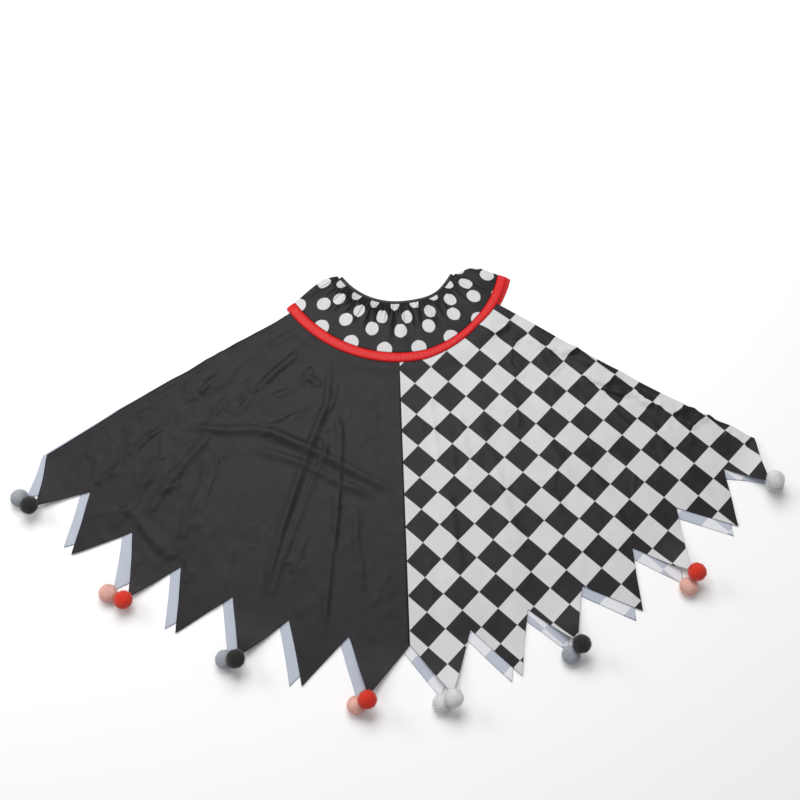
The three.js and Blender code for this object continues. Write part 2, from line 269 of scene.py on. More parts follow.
HEM_POINTS = (
    HemPoint(-56.2, 871, -2.0, 9, 32.0),
    HemPoint(-48.1, 865, BACK_TURN, 2),
    HemPoint(-38.4, 863, -2.3, 7, 26.2),
    HemPoint(-30.8, 859, BACK_TURN, 3),
    HemPoint(-22.0, 861, -1.5, 4, 39.0),
    HemPoint(-13.5, 870, BACK_TURN, 5),
    HemPoint(-5.3, 885, -1.3, 7, 40.2),
    HemPoint(4.9, 887, -1.4, 3, 40.0),
    HemPoint(13.8, 865, BACK_TURN, 7),
    HemPoint(21.8, 853, -1.5, 7, 39.3),
    HemPoint(31.4, 849, BACK_TURN, 9),
    HemPoint(39.5, 858, -1.6, 8, 38.0),
    HemPoint(48.8, 856, BACK_TURN, 5),
    HemPoint(55.9, 866, 0.3, 4, 45.0),
)

NOTCHES = (
    Notch(-53.7, 761),
    Notch(-44.6, 753),
    Notch(-35.4, 747),
    Notch(-26.4, 749),
    Notch(-17.5, 754),
    Notch(-8.6, 763),
    Notch(0, 775),
    Notch(8.7, 758),
    Notch(17.5, 749),
    Notch(26.3, 750),
    Notch(35.9, 741),
    Notch(45.3, 743),
    Notch(54.8, 772),
)


@dataclass(frozen=True)
class Hem:
    """The zigzag hem of both layers.

    Attributes:
        back_notch_extra: How much further the back layer's notches reach.
        tuck: A point ends this far short of its pompon's middle, under the ball.
        ball_radius: Radius of a pompon.
        ball_half_height: Half its height, as it lies a little flat.
        tip_clearance: From the ball's underside to the cloth tucked below it.
    """

    back_notch_extra: float = 6.0
    tuck: float = 10.0
    ball_radius: float = 19.0
    ball_half_height: float = 15.0
    tip_clearance: float = 0.9

    CORNERS = {
        Layer.FRONT: (Notch(-62.2, 795), Notch(61.2, 797)),
        Layer.BACK: (Notch(-62.6, 803), Notch(61.2, 797)),
    }
    CENTRE = 14  # index of the centre seam's foot among the hem's corners
    CAD_CLOTH = 1.2

    def tip_lift(self, point: HemPoint) -> float:
        """How high a front point climbs to lie under its pompon."""
        if not point.height:
            return 0.0
        underside = math.sqrt(1 - (self.tuck / self.ball_radius) ** 2) * self.ball_half_height
        return point.height - underside - self.tip_clearance - 2 * self.CAD_CLOTH - LAYER_GAP

    def corners(self, layer: Layer, side: Side) -> tuple[np.ndarray, np.ndarray]:
        """Corners of one panel's hem from left to right.

        Args:
            layer: Front or back.
            side: Left or right panel.

        Returns:
            The corners' spots, and the lift of each (nought at notches and on the back layer).
        """
        back = layer is Layer.BACK
        left, right = self.CORNERS[layer]
        spots = [polar(left.at, left.reach)]
        lifts = [0.0]
        for i, point in enumerate(HEM_POINTS):
            tuck = self.tuck if point.height else 0.0
            turn, extra = (point.turn, point.extra) if back else (0.0, 0.0)
            spots.append(polar(point.at + turn, point.reach + extra - tuck))
            lifts.append(0.0 if back else self.tip_lift(point))
            if i < len(NOTCHES):
                notch = NOTCHES[i]
                turn, extra = (BACK_TURN, self.back_notch_extra) if back else (0.0, 0.0)
                spots.append(polar(notch.at + turn, notch.reach + extra))
                lifts.append(0.0)
        spots.append(polar(right.at, right.reach))
        lifts.append(0.0)
        half = slice(0, self.CENTRE + 1) if side is Side.LEFT else slice(self.CENTRE, None)
        return np.array(spots)[half], np.array(lifts)[half]


# ---------------------------------------------------------------- creases
@dataclass(frozen=True)
class Crease:
    """One soft ridge pressed or bunched into the cloth.

    Attributes:
        path: Where it runs.
        rise: How high it stands.
        width: From its crest to where it has mostly died away.
        lean: From -1 to 1, how much steeper its left flank is than its right one.
        slip: How far the print is pulled towards the crest.
        wave: Where its unevenness starts, in turns.
    """

    path: tuple[tuple[float, float], ...]
    rise: float
    width: float
    lean: float = 0.0
    slip: float = 0.8
    wave: float = 0.0

    REACH = 3.4  # widths at which it counts as gone
    HOLLOW_AT = 2.2  # widths from the crest to the hollow beside it
    HOLLOW_DEPTH = 0.06  # share of the rise
    UNEVEN = 0.22
    END = 0.16  # share of the length over which an end dies away

    def press(self, spots: np.ndarray, height: np.ndarray, pull: np.ndarray) -> None:
        """Adds this crease to a cloth.

        Args:
            spots: The cloth's spots, one row each.
            height: Heights to add to.
            pull: Shifts of the print to add to.
        """
        line = curve_through(self.path)
        margin = self.REACH * self.width
        low, high = line.min(0) - margin, line.max(0) + margin
        near = np.flatnonzero(((spots > low) & (spots < high)).all(1))
        if not len(near):
            return
        signed, along, across = nearest_on(spots[near], line)
        away = np.abs(signed) / (self.width * (1.0 + self.lean * np.sign(signed)))
        fade = ease(along / self.END) * ease((1.0 - along) / self.END)
        fade *= 1.0 + self.UNEVEN * np.sin(2 * np.pi * (2.3 * along + self.wave))
        ridge = np.exp(-(away**2))
        hollow = np.exp(-(((away - self.HOLLOW_AT) / 0.8) ** 2))
        height[near] += self.rise * fade * (ridge - self.HOLLOW_DEPTH * hollow)
        slide = signed / self.width * np.exp(0.5 - 0.5 * away**2)
        pull[near] += (self.slip * fade * slide)[:, None] * across


class Zone(NamedTuple):
    """A patch of small crumples: where, how many, which way they run and how high they are."""

    x: float
    y: float
    radius: float
    count: int
    heading: float
    spread: float
    rise: float


def crumples(zones: Sequence[Zone], seed: int) -> list[Crease]:
    """Scatters short shallow creases over patches of cloth.

    Args:
        zones: The patches.
        seed: Start of the random draws.

    Returns:
        The creases.
    """
    rng = np.random.default_rng(seed)
    found = []
    for zone in zones:
        for _ in range(zone.count):
            angle = rng.uniform(0, 2 * np.pi)
            middle = np.array([zone.x, zone.y]) + zone.radius * math.sqrt(rng.uniform()) * np.array(
                [math.cos(angle), math.sin(angle)]
            )
            heading = math.radians(zone.heading + zone.spread * rng.normal())
            along = np.array([math.cos(heading), math.sin(heading)])
            across = np.array([-along[1], along[0]])
            half = rng.uniform(14, 46)
            bend = rng.uniform(-0.22, 0.22) * half
            path = (middle - half * along, middle + bend * across, middle + half * along)
            found.append(
                Crease(
                    tuple((float(p[0]), float(p[1])) for p in path),
                    rise=zone.rise * rng.uniform(0.35, 1.0),
                    width=rng.uniform(3.4, 7.5),
                    lean=rng.uniform(-0.4, 0.4),
                    slip=0.3,
                    wave=rng.uniform(),
                )
            )
    return found


BLACK_CREASES = (
    Crease(
        ((-448, -318), (-350, -330), (-285, -329), (-240, -346), (-180, -376), (-124, -408), (-65, -443),
         (-8, -473)),
        rise=2.6, width=9.2, lean=-0.15, wave=0.1,
    ),
    Crease(((-292, -320), (-246, -311), (-221, -297), (-186, -283)), rise=1.6, width=7.4, lean=0.3),
    Crease(
        ((-312, -367), (-246, -386), (-191, -409), (-130, -444), (-48, -482)),
        rise=2.2, width=8.6, lean=-0.2, wave=0.4,
    ),
    Crease(
        ((-139, -150), (-145, -205), (-147, -250), (-151, -284), (-166, -320), (-180, -356), (-202, -418),
         (-228, -500), (-243, -548), (-262, -624), (-280, -695)),
        rise=2.4, width=8.1, lean=0.2, wave=0.6,
    ),
    Crease(
        ((-150, -288), (-131, -304), (-122, -345), (-125, -405), (-133, -521), (-142, -577), (-150, -643),
         (-156, -700), (-161, -765)),
        rise=2.2, width=7.8, lean=-0.25, wave=0.2,
    ),
    Crease(
        ((-137, -318), (-149, -350), (-153, -380), (-172, -420), (-190, -466), (-207, -513), (-228, -572),
         (-250, -641), (-266, -700)),
        rise=1.7, width=6.5, lean=0.2, wave=0.8,
    ),
    Crease(
        ((-194, -152), (-246, -196), (-280, -232), (-308, -265), (-336, -306)),
        rise=2.2, width=7.8, lean=0.3, wave=0.3,
    ),
    Crease(((-203, -168), (-252, -209), (-275, -234)), rise=1.2, width=6.2, lean=-0.2),
    Crease(((-312, -220), (-302, -236), (-291, -252)), rise=1.5, width=7.3),
    Crease(((-359, -259), (-342, -283), (-326, -291)), rise=1.6, width=8.4),
    Crease(((-184, -222), (-223, -246), (-257, -261), (-295, -280)), rise=1.7, width=7.3, lean=0.25),
    Crease(((-181, -196), (-178, -224), (-156, -239)), rise=1.6, width=7.0),
    Crease(((-199, -212), (-178, -226), (-170, -246)), rise=1.2, width=6.5),
    Crease(((-272, -150), (-234, -128), (-204, -114)), rise=1.4, width=8.8, lean=-0.3),
    Crease(
        ((-445, -265), (-404, -243), (-362, -217), (-320, -182), (-270, -141)),
        rise=1.6, width=16.2, lean=0.4,
    ),
    Crease(
        ((-476, -377), (-503, -427), (-526, -474), (-545, -497), (-572, -537)),
        rise=1.8, width=9.7, wave=0.5,
    ),
    Crease(
        ((-372, -332), (-404, -363), (-434, -400), (-465, -444), (-480, -473), (-514, -513)),
        rise=2.0, width=8.4,
    ),
    Crease(
        ((-383, -378), (-393, -428), (-405, -467), (-418, -514), (-432, -555), (-448, -598)),
        rise=2.0, width=7.8,
    ),
    Crease(((-362, -372), (-373, -423), (-385, -460), (-397, -508)), rise=1.5, width=6.8, lean=-0.3),
    Crease(
        ((-562, -482), (-525, -505), (-509, -529), (-488, -558), (-462, -588)),
        rise=1.5, width=8.9, lean=0.3,
    ),
    Crease(((-568, -331), (-597, -351), (-626, -384)), rise=1.3, width=11.5),
    Crease(((-533, -385), (-554, -404), (-581, -422), (-604, -441)), rise=1.6, width=10.0),
    Crease(((-489, -328), (-523, -354), (-546, -380)), rise=1.4, width=9.7),
    Crease(((-98, -498), (-97, -543), (-95, -579), (-97, -618)), rise=1.0, width=6.5),
    Crease(((-294, -525), (-292, -551), (-294, -583)), rise=1.0, width=6.2),
    Crease(((-460, -340), (-418, -345), (-378, -343)), rise=1.1, width=6.8),
    Crease(((-478, -248), (-452, -276), (-430, -316)), rise=1.4, width=10.8),
    Crease(((-562, -326), (-515, -290), (-470, -266)), rise=1.4, width=12.2, lean=-0.3),
    Crease(((-406, -252), (-368, -234), (-330, -211)), rise=1.4, width=9.5),
    Crease(((-399, -512), (-412, -560), (-430, -606)), rise=1.2, width=8.1),
    Crease(((-516, -586), (-527, -607), (-517, -622)), rise=1.2, width=8.1),
    Crease(((-495, -543), (-468, -566), (-445, -596)), rise=1.1, width=8.1),
    Crease(((-60, -250), (-56, -330), (-52, -400)), rise=0.7, width=12.2),
    Crease(((-38, -560), (-40, -640), (-36, -730)), rise=0.8, width=10.8, lean=0.3),
    Crease(((-330, -560), (-350, -640), (-372, -715)), rise=1.1, width=10.8),
    Crease(((-215, -590), (-212, -650), (-205, -720)), rise=0.9, width=8.8),
)

CHECK_CREASES = (
    Crease(((150, -112), (185, -121), (198, -133), (230, -117)), rise=2.4, width=6.5, slip=2.6),
    Crease(((231, -165), (251, -146), (297, -172)), rise=2.2, width=6.5, slip=2.4),
    Crease(((299, -176), (317, -173), (335, -176), (369, -174)), rise=3.0, width=8.5, slip=2.0),
    Crease(((303, -234), (335, -204)), rise=1.8, width=6.5, slip=1.4),
    Crease(((326, -184), (347, -181), (369, -168)), rise=2.2, width=7.0, slip=2.0),
    Crease(((368, -229), (397, -249), (415, -256), (433, -247)), rise=3.4, width=6.8, slip=3.4, lean=0.25),
    Crease(((402, -263), (432, -274), (456, -281), (475, -274)), rise=3.4, width=6.8, slip=3.4, lean=0.2),
    Crease(((470, -276), (486, -296), (508, -303)), rise=3.6, width=7.0, slip=3.6),
    Crease(((510, -301), (533, -311), (550, -324), (573, -311)), rise=3.8, width=7.0, slip=3.8, lean=0.25),
    Crease(((572, -357), (591, -342), (614, -334)), rise=3.8, width=7.5, slip=3.4),
    Crease(((641, -362), (664, -378), (686, -397)), rise=3.0, width=8.5, slip=2.4),
    Crease(
        ((335, -190), (410, -238), (470, -276), (540, -324), (600, -362), (668, -404)),
        rise=1.8, width=11.0,
    ),
    Crease(((58, -262), (62, -335), (70, -410)), rise=1.5, width=7.0),
    Crease(((118, -300), (121, -360), (130, -430)), rise=1.3, width=7.5),
    Crease(((86, -470), (92, -545), (104, -640)), rise=1.4, width=8.0),
    Crease(((180, -420), (196, -500), (222, -600)), rise=1.6, width=10.0),
    Crease(((262, -330), (310, -420), (348, -520)), rise=1.5, width=11.0),
    Crease(((390, -350), (440, -430), (486, -520)), rise=1.5, width=11.0),
    Crease(((500, -390), (560, -450), (610, -500)), rise=1.4, width=9.0),
    Crease(((40, -600), (44, -670), (40, -735)), rise=1.2, width=8.0),
)

BACK_CREASES = {
    Side.LEFT: (
        Crease(((-440, -320), (-285, -332), (-180, -378), (-60, -446)), rise=1.2, width=12.0),
        Crease(((-145, -250), (-180, -356), (-228, -500), (-275, -680)), rise=1.1, width=11.0),
        Crease(((-372, -332), (-465, -444), (-540, -560)), rise=1.0, width=12.0),
        Crease(((-98, -480), (-92, -600), (-88, -720)), rise=0.9, width=10.0),
    ),
    Side.RIGHT: (
        Crease(((150, -300), (182, -440), (196, -610)), rise=1.1, width=13.0),
        Crease(((300, -330), (372, -440), (424, -570)), rise=1.1, width=13.0),
        Crease(((345, -210), (480, -290), (630, -385)), rise=1.0, width=12.0),
        Crease(((60, -420), (150, -470), (260, -490)), rise=0.8, width=12.0),
    ),
}

FRONT_ZONES = {
    Side.LEFT: (
        Zone(-300, -230, 120, 26, 38, 20, 1.1),
        Zone(-430, -320, 110, 18, 42, 24, 1.2),
        Zone(-545, -420, 110, 18, 50, 28, 1.3),
        Zone(-470, -560, 110, 16, 62, 26, 1.1),
        Zone(-240, -500, 150, 14, 75, 22, 0.9),
        Zone(-120, -300, 80, 8, 84, 30, 0.8),
        Zone(-90, -620, 120, 8, 86, 18, 0.8),
    ),
    Side.RIGHT: (
        Zone(470, -310, 110, 18, -35, 24, 1.0),
        Zone(300, -230, 90, 12, -40, 30, 0.9),
        Zone(560, -430, 110, 10, -50, 28, 0.9),
        Zone(160, -420, 180, 12, -80, 24, 0.7),
        Zone(380, -520, 150, 12, -62, 24, 0.7),
    ),
}


@dataclass(frozen=True)
class Swell:
    """Broad soft undulation of cloth that doesn't lie quite flat.

    Attributes:
        height: How high the waves stand together.
        seed: Start of the random draws.
        waves: How many waves are added up.
        shortest: Length of the shortest wave.
        longest: Length of the longest wave.
    """

    height: float
    seed: int
    waves: int = 7
    shortest: float = 70.0
    longest: float = 210.0

    def at(self, spots: np.ndarray) -> np.ndarray:
        """Height of the undulation at spots, from nought up."""
        rng = np.random.default_rng(self.seed)
        total = np.zeros(len(spots))
        for _ in range(self.waves):
            heading = rng.uniform(0, np.pi)
            length = rng.uniform(self.shortest, self.longest)
            phase = rng.uniform(0, 2 * np.pi)
            ahead = spots @ np.array([math.cos(heading), math.sin(heading)])
            total += np.sin(2 * np.pi * ahead / length + phase)
        return self.height * (0.5 + 0.5 * total / (0.6 * self.waves)).clip(0, 1)


# ---------------------------------------------------------------- meshes
@dataclass
class Shell:
    """A closed thin cloth over a grid of spots.

    Attributes:
        top: Upper spots, rows running outwards and columns to the right, each x, y, z.
        bottom: Lower spots over every stride-th row and column.
        cut: Where each upper spot was on the flat cloth.
        stride: How much coarser the lower side is.
    """

    top: np.ndarray
    bottom: np.ndarray
    cut: np.ndarray
    stride: int = 1

    @staticmethod
    def _quads(rows: int, columns: int, first: int) -> np.ndarray:
        """Quads of a grid, facing up."""
        index = first + np.arange(rows * columns).reshape(rows, columns)
        return np.stack([index[:-1, :-1], index[1:, :-1], index[1:, 1:], index[:-1, 1:]], -1).reshape(-1, 4)

    @staticmethod
    def _rim(rows: int, columns: int, first: int) -> np.ndarray:
        """Indices once round a grid: down its left side, along its end, up its right side and back."""
        index = first + np.arange(rows * columns).reshape(rows, columns)
        return np.concatenate([index[:, 0], index[-1, 1:], index[-2::-1, -1], index[0, -2:0:-1]])

    def build(self, name: str, place: Place, finishes: Sequence[bpy.types.Material]) -> bpy.types.Object:
        """Makes the mesh.

        Args:
            name: Name of the piece.
            place: Where the cape is.
            finishes: Material of the upper side, and of the lower one where it differs.

        Returns:
            The new object.
        """
        rows, columns = self.top.shape[:2]
        low_rows, low_columns = self.bottom.shape[:2]
        under = rows * columns
        spots = np.vstack([self.top.reshape(-1, 3), self.bottom.reshape(-1, 3)])
        low_cut = self.cut[:: self.stride, :: self.stride]
        cut = np.vstack([self.cut.reshape(-1, 2), low_cut.reshape(-1, 2)])
        upper = self._quads(rows, columns, 0).tolist()
        lower = self._quads(low_rows, low_columns, under)[:, ::-1].tolist()
        fine = self._rim(rows, columns, 0)
        coarse = self._rim(low_rows, low_columns, under)
        edge = []
        half = self.stride // 2
        for i, here in enumerate(coarse):
            following = coarse[(i + 1) % len(coarse)]
            steps = [fine[(i * self.stride + k) % len(fine)] for k in range(self.stride + 1)]
            edge += [[here, steps[k + 1], steps[k]] for k in range(half)]
            edge.append([here, following, steps[half]])
            edge += [[following, steps[k + 1], steps[k]] for k in range(half, self.stride)]
        mesh = bpy.data.meshes.new(name)
        faces = upper + lower + [[int(v) for v in f] for f in edge]
        mesh.from_pydata(place.metres(spots).tolist(), [], faces)
        smooth = np.ones(len(mesh.polygons), bool)
        smooth[len(upper) + len(lower) :] = False
        mesh.polygons.foreach_set("use_smooth", smooth)
        slots = np.zeros(len(mesh.polygons), np.int32)
        slots[len(upper) : len(upper) + len(lower)] = len(finishes) - 1
        mesh.polygons.foreach_set("material_index", slots)
        corners = np.zeros(len(mesh.loops), np.int32)
        mesh.loops.foreach_get("vertex_index", corners)
        mesh.uv_layers.new(name=CUT_MAP).data.foreach_set("uv", cut[corners].astype(np.float32).ravel())
        for finish in finishes:
            mesh.materials.append(finish)
        mesh.update()
        return add_object(name, mesh)


def add_object(name: str, mesh: bpy.types.Mesh) -> bpy.types.Object:
    """Puts a mesh into the scene as a named object."""
    piece = bpy.data.objects.new(name, mesh)
    bpy.context.scene.collection.objects.link(piece)
    return piece


def hang(piece: bpy.types.Object, node: str | None = None) -> None:
    """Ties a piece to the part's body and reports it.

    Args:
        piece: The piece, in its place.
        node: The solid that it stands for, if any.
    """
    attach(piece, BODY)
    if node:
        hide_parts(node)
    log.info("%s: %d faces", piece.name, len(piece.data.polygons))


@dataclass(frozen=True)
class StitchRow:
    """A row of machine stitches along a line.

    Attributes:
        length: Of one stitch.
        gap: Between two stitches.
        thickness: Of the thread.
    """

    length: float = 2.6
    gap: float = 1.0
    thickness: float = 0.45

    def build(
        self, name: str, place: Place, line: np.ndarray, finish: bpy.types.Material
    ) -> bpy.types.Object:
        """Lays the stitches along a line of x, y, z spots and joins them in one piece."""
        steps = np.hypot(*np.diff(line[:, :2], axis=0).T)
        travelled = np.concatenate([[0.0], np.cumsum(steps)])
        starts = np.arange(0.0, travelled[-1] - self.length, self.length + self.gap)
        spots, faces = [], []
        for start in starts:
            ends = [
                np.array([np.interp(start + s, travelled, line[:, k]) for k in range(3)])
                for s in (0.0, self.length)
            ]
            run = (ends[1] - ends[0]) / np.linalg.norm(ends[1] - ends[0])
            across = np.array([-run[1], run[0], 0.0]) * self.thickness / 2
            up = np.array([0.0, 0.0, self.thickness / 2])
            middle = (ends[0] + ends[1]) / 2 + up
            first = len(spots)
            spots += [ends[0], ends[1], middle + across, middle - across, middle + up, middle - 2 * up]
            for a, b in ((2, 4), (4, 3), (3, 5), (5, 2)):
                faces += [[first, first + b, first + a], [first + 1, first + a, first + b]]
        mesh = bpy.data.meshes.new(name)
        mesh.from_pydata(place.metres(np.array(spots)).tolist(), [], faces)
        mesh.polygons.foreach_set("use_smooth", np.ones(len(mesh.polygons), bool))
        mesh.materials.append(finish)
        return add_object(name, mesh)


# ---------------------------------------------------------------- finishes
def linear(red: int, green: int, blue: int) -> tuple[float, float, float, float]:
    """A colour given as screen values from 0 to 255, as the shader wants it."""
    parts = [c / 255 for c in (red, green, blue)]
    parts = [c / 12.92 if c <= 0.04045 else ((c + 0.055) / 1.055) ** 2.4 for c in parts]
    return (*parts, 1.0)


class Dye:
    """Helper that wires one material's nodes."""

    def __init__(self, name: str) -> None:
        """Starts a material with a bare shader."""
        self.material = bpy.data.materials.new(name)
        self.material.use_nodes = True
        self.tree = self.material.node_tree
        self.shader = next(n for n in self.tree.nodes if n.type == "BSDF_PRINCIPLED")

    def add(self, kind: str, *feeds: object, **settings: object) -> bpy.types.Node:
        """Adds a node.

        Args:
            kind: Short type name, such as Math or TexNoise.
            feeds: Values or output sockets for its inputs in order; None leaves one alone.
            settings: Properties of the node, and inputs by name in the form i_Scale=3.

        Returns:
            The node.
        """
        node = self.tree.nodes.new("ShaderNode" + kind)
        for key, value in settings.items():
            if not key.startswith("i_"):
                setattr(node, key, value)
        pairs = list(zip(node.inputs, feeds))
        pairs += [(node.inputs[k[2:]], v) for k, v in settings.items() if k.startswith("i_")]
        for socket, value in pairs:
            if isinstance(value, bpy.types.NodeSocket):
                self.tree.links.new(value, socket)
            elif value is not None:
                vector = socket.type == "VECTOR"
                socket.default_value = value[:3] if vector else value
        return node

    def math(self, operation: str, *feeds: object, clamp: bool = False) -> bpy.types.NodeSocket:
        """A sum of one or two numbers."""
        return self.add("Math", *feeds, operation=operation, use_clamp=clamp).outputs[0]

    def vector(self, operation: str, *feeds: object) -> bpy.types.NodeSocket:
        """A sum of vectors."""
        node = self.add("VectorMath", *feeds, operation=operation)
        return node.outputs["Value" if operation == "LENGTH" else "Vector"]

    def blend(self, amount: object, first: object, second: object) -> bpy.types.NodeSocket:
        """A colour between two colours."""
        node = self.tree.nodes.new("ShaderNodeMix")
        node.data_type = "RGBA"
        colours = [s for s in node.inputs if s.type == "RGBA"]
        for socket, value in ((node.inputs[0], amount), (colours[0], first), (colours[1], second)):
            if isinstance(value, bpy.types.NodeSocket):
                self.tree.links.new(value, socket)
            else:
                socket.default_value = value
        return next(s for s in node.outputs if s.type == "RGBA")

    def cut(self) -> bpy.types.NodeSocket:
        """The flat cloth's coordinates."""
        return self.add("UVMap", uv_map=CUT_MAP).outputs[0]

    def noise(
        self, at: object, scale: float, detail: float = 2.0, stretch: tuple = (1, 1, 1)
    ) -> bpy.types.NodeSocket:
        """Noise from 0 to 1, at a scale, stretched by axis."""
        moved = self.vector("MULTIPLY", at, stretch)
        return self.add("TexNoise", i_Vector=moved, i_Scale=scale, i_Detail=detail).outputs[0]

    def set(self, **values: object) -> None:
        """Sets or links the shader's own sockets, with _ for a space in a name."""
        for key, value in values.items():
            socket = self.shader.inputs[key.replace("_", " ")]
            if isinstance(value, bpy.types.NodeSocket):
                self.tree.links.new(value, socket)
            else:
                socket.default_value = value

    def bump(self, layers: Sequence[tuple[bpy.types.NodeSocket, float, float]]) -> None:
        """Stacks bumps, each a height, a strength and a depth in metres, onto the shader's normal."""
        normal = None
        for height, strength, depth in layers:
            node = self.add("Bump", i_Height=height, i_Strength=strength, i_Distance=depth)
            if normal is not None:
                self.tree.links.new(normal, node.inputs["Normal"])
            normal = node.outputs[0]
        self.set(Normal=normal)


@dataclass(frozen=True)
class Satin:
    """Thin polyester satin.

    Attributes:
        name: Name of the material.
        tint: Its colour.
        roughness: How matt it is.
        gloss: Specular level.
        sheen: Weight of the soft nap shine.
        threads: Threads to a unit of the cut map.
        ripple: Depth of the fine crinkles, in metres.
    """

    name: str
    tint: tuple[float, float, float, float]
    roughness: float = 0.42
    gloss: float = 0.35
    sheen: float = 0.1
    threads: float = 120.0
    ripple: float = 0.0005

    def colour(self, dye: Dye, cut: bpy.types.NodeSocket) -> object:
        """The cloth's colour before its fine variation."""
        return self.tint

    def build(self) -> bpy.types.Material:
        """Makes the material."""
        dye = Dye(self.name)
        cut = dye.cut()
        warp = dye.noise(cut, self.threads, 1.0, (0.06, 1.0, 1.0))
        weft = dye.noise(cut, self.threads, 1.0, (1.0, 0.12, 1.0))
        blotch = dye.noise(cut, 0.9, 3.0)
        crinkle = dye.noise(cut, 2.6, 5.0, (0.55, 1.0, 1.0))
        grain = dye.math("MULTIPLY_ADD", warp, 0.16, 0.92)
        tone = dye.math("MULTIPLY_ADD", blotch, 0.20, 0.90)
        level = dye.math("MULTIPLY", grain, tone)
        shade = dye.vector("SCALE", self.colour(dye, cut))
        dye.tree.links.new(level, shade.node.inputs["Scale"])
        rough = dye.math("MULTIPLY_ADD", crinkle, 0.14, self.roughness - 0.07)
        dye.set(Base_Color=shade, Roughness=rough)
        dye.set(Specular_IOR_Level=self.gloss, Sheen_Weight=self.sheen, Sheen_Roughness=0.45)
        dye.bump([(crinkle, 0.55, self.ripple), (weft, 0.25, 0.00012), (warp, 0.35, 0.00012)])
        return dye.material


@dataclass(frozen=True)
class Check(Satin):
    """Satin printed with a check: one cell to a unit of the cut map.

    Attributes:
        second: Colour of the other squares.
    """

    second: tuple[float, float, float, float] = (1.0, 1.0, 1.0, 1.0)

    EDGE = 14.0  # how sharp the print's edge is

    def colour(self, dye: Dye, cut: bpy.types.NodeSocket) -> bpy.types.NodeSocket:
        """Squares where both directions agree take the second colour."""
        parts = dye.add("SeparateXYZ", cut).outputs
        bands = []
        for axis in (0, 1):
            wave = dye.math("SINE", dye.math("MULTIPLY", parts[axis], math.pi))
            bands.append(dye.math("MULTIPLY_ADD", wave, self.EDGE, 0.5, clamp=True))
        both = dye.math("MULTIPLY", *bands)
        either = dye.math("ADD", *bands)
        odd = dye.math("MULTIPLY_ADD", both, -2.0, either, clamp=True)
        return dye.blend(odd, self.second, self.tint)


@dataclass(frozen=True)
class Dots(Satin):
    """Satin printed with staggered dots: one dot's pitch to a unit of the cut map.

    Attributes:
        second: Colour of the dots.
        dot: A dot's radius in pitches.
    """

    second: tuple[float, float, float, float] = (1.0, 1.0, 1.0, 1.0)
    dot: float = 0.22

    EDGE = 60.0

    def colour(self, dye: Dye, cut: bpy.types.NodeSocket) -> bpy.types.NodeSocket:
        """Dots sit on the corners and in the middles of square cells."""
        half = (0.5, 0.5, 0.0)
        reaches = []
        for start in (dye.vector("ADD", cut, half), cut):
            offset = dye.vector("SUBTRACT", dye.vector("FRACTION", start), half)
            flat = dye.vector("MULTIPLY", offset, (1.0, 1.0, 0.0))
            reaches.append(dye.vector("LENGTH", flat))
        nearest = dye.math("MINIMUM", *reaches)
        inside = dye.math("SUBTRACT", self.dot, nearest)
        return dye.blend(dye.math("MULTIPLY_ADD", inside, self.EDGE, 0.5, clamp=True), self.tint, self.second)


@dataclass(frozen=True)
class Fibre:
    """Soft yarn of a pompon.

    Attributes:
        name: Name of the material.
        tint: Its colour.
        shadow: Colour between the strands.
    """

    name: str
    tint: tuple[float, float, float, float]
    shadow: tuple[float, float, float, float]

    def build(self) -> bpy.types.Material:
        """Makes the material."""
        dye = Dye(self.name)
        at = dye.add("TexCoord").outputs["Object"]
        tuft = dye.noise(at, 420.0, 3.0)
        strand = dye.noise(at, 1900.0, 2.0)
        mixed = dye.math("MULTIPLY_ADD", tuft, 0.9, dye.math("MULTIPLY", strand, 0.5))
        shade = dye.math("SUBTRACT", mixed, 0.25, clamp=True)
        dye.set(Base_Color=dye.blend(shade, self.shadow, self.tint), Roughness=0.85)
        dye.set(Specular_IOR_Level=0.2, Sheen_Weight=0.35, Sheen_Roughness=0.5)
        dye.bump([(tuft, 0.5, 0.0008), (strand, 0.5, 0.0003)])
        return dye.material


@dataclass(frozen=True)
class Floor:
    """Pale floor with a faint unevenness."""

    tint: tuple[float, float, float, float]

    def build(self) -> bpy.types.Material:
        """Makes the material."""
        dye = Dye("pale_floor")
        at = dye.add("TexCoord").outputs["Object"]
        cloud = dye.math("MULTIPLY_ADD", dye.noise(at, 1.5, 3.0), 0.02, 0.99)
        shade = dye.vector("SCALE", self.tint)
        dye.tree.links.new(cloud, shade.node.inputs["Scale"])
        dye.set(Base_Color=shade, Roughness=0.9, Specular_IOR_Level=0.1)
        return dye.material


INK = linear(33, 31, 33)
WHITE_CHECK = linear(197, 197, 198)
WHITE_DOT = linear(199, 198, 199)
GHOST_BLUE = linear(176, 182, 194)
GHOST_PALE = linear(216, 217, 221)


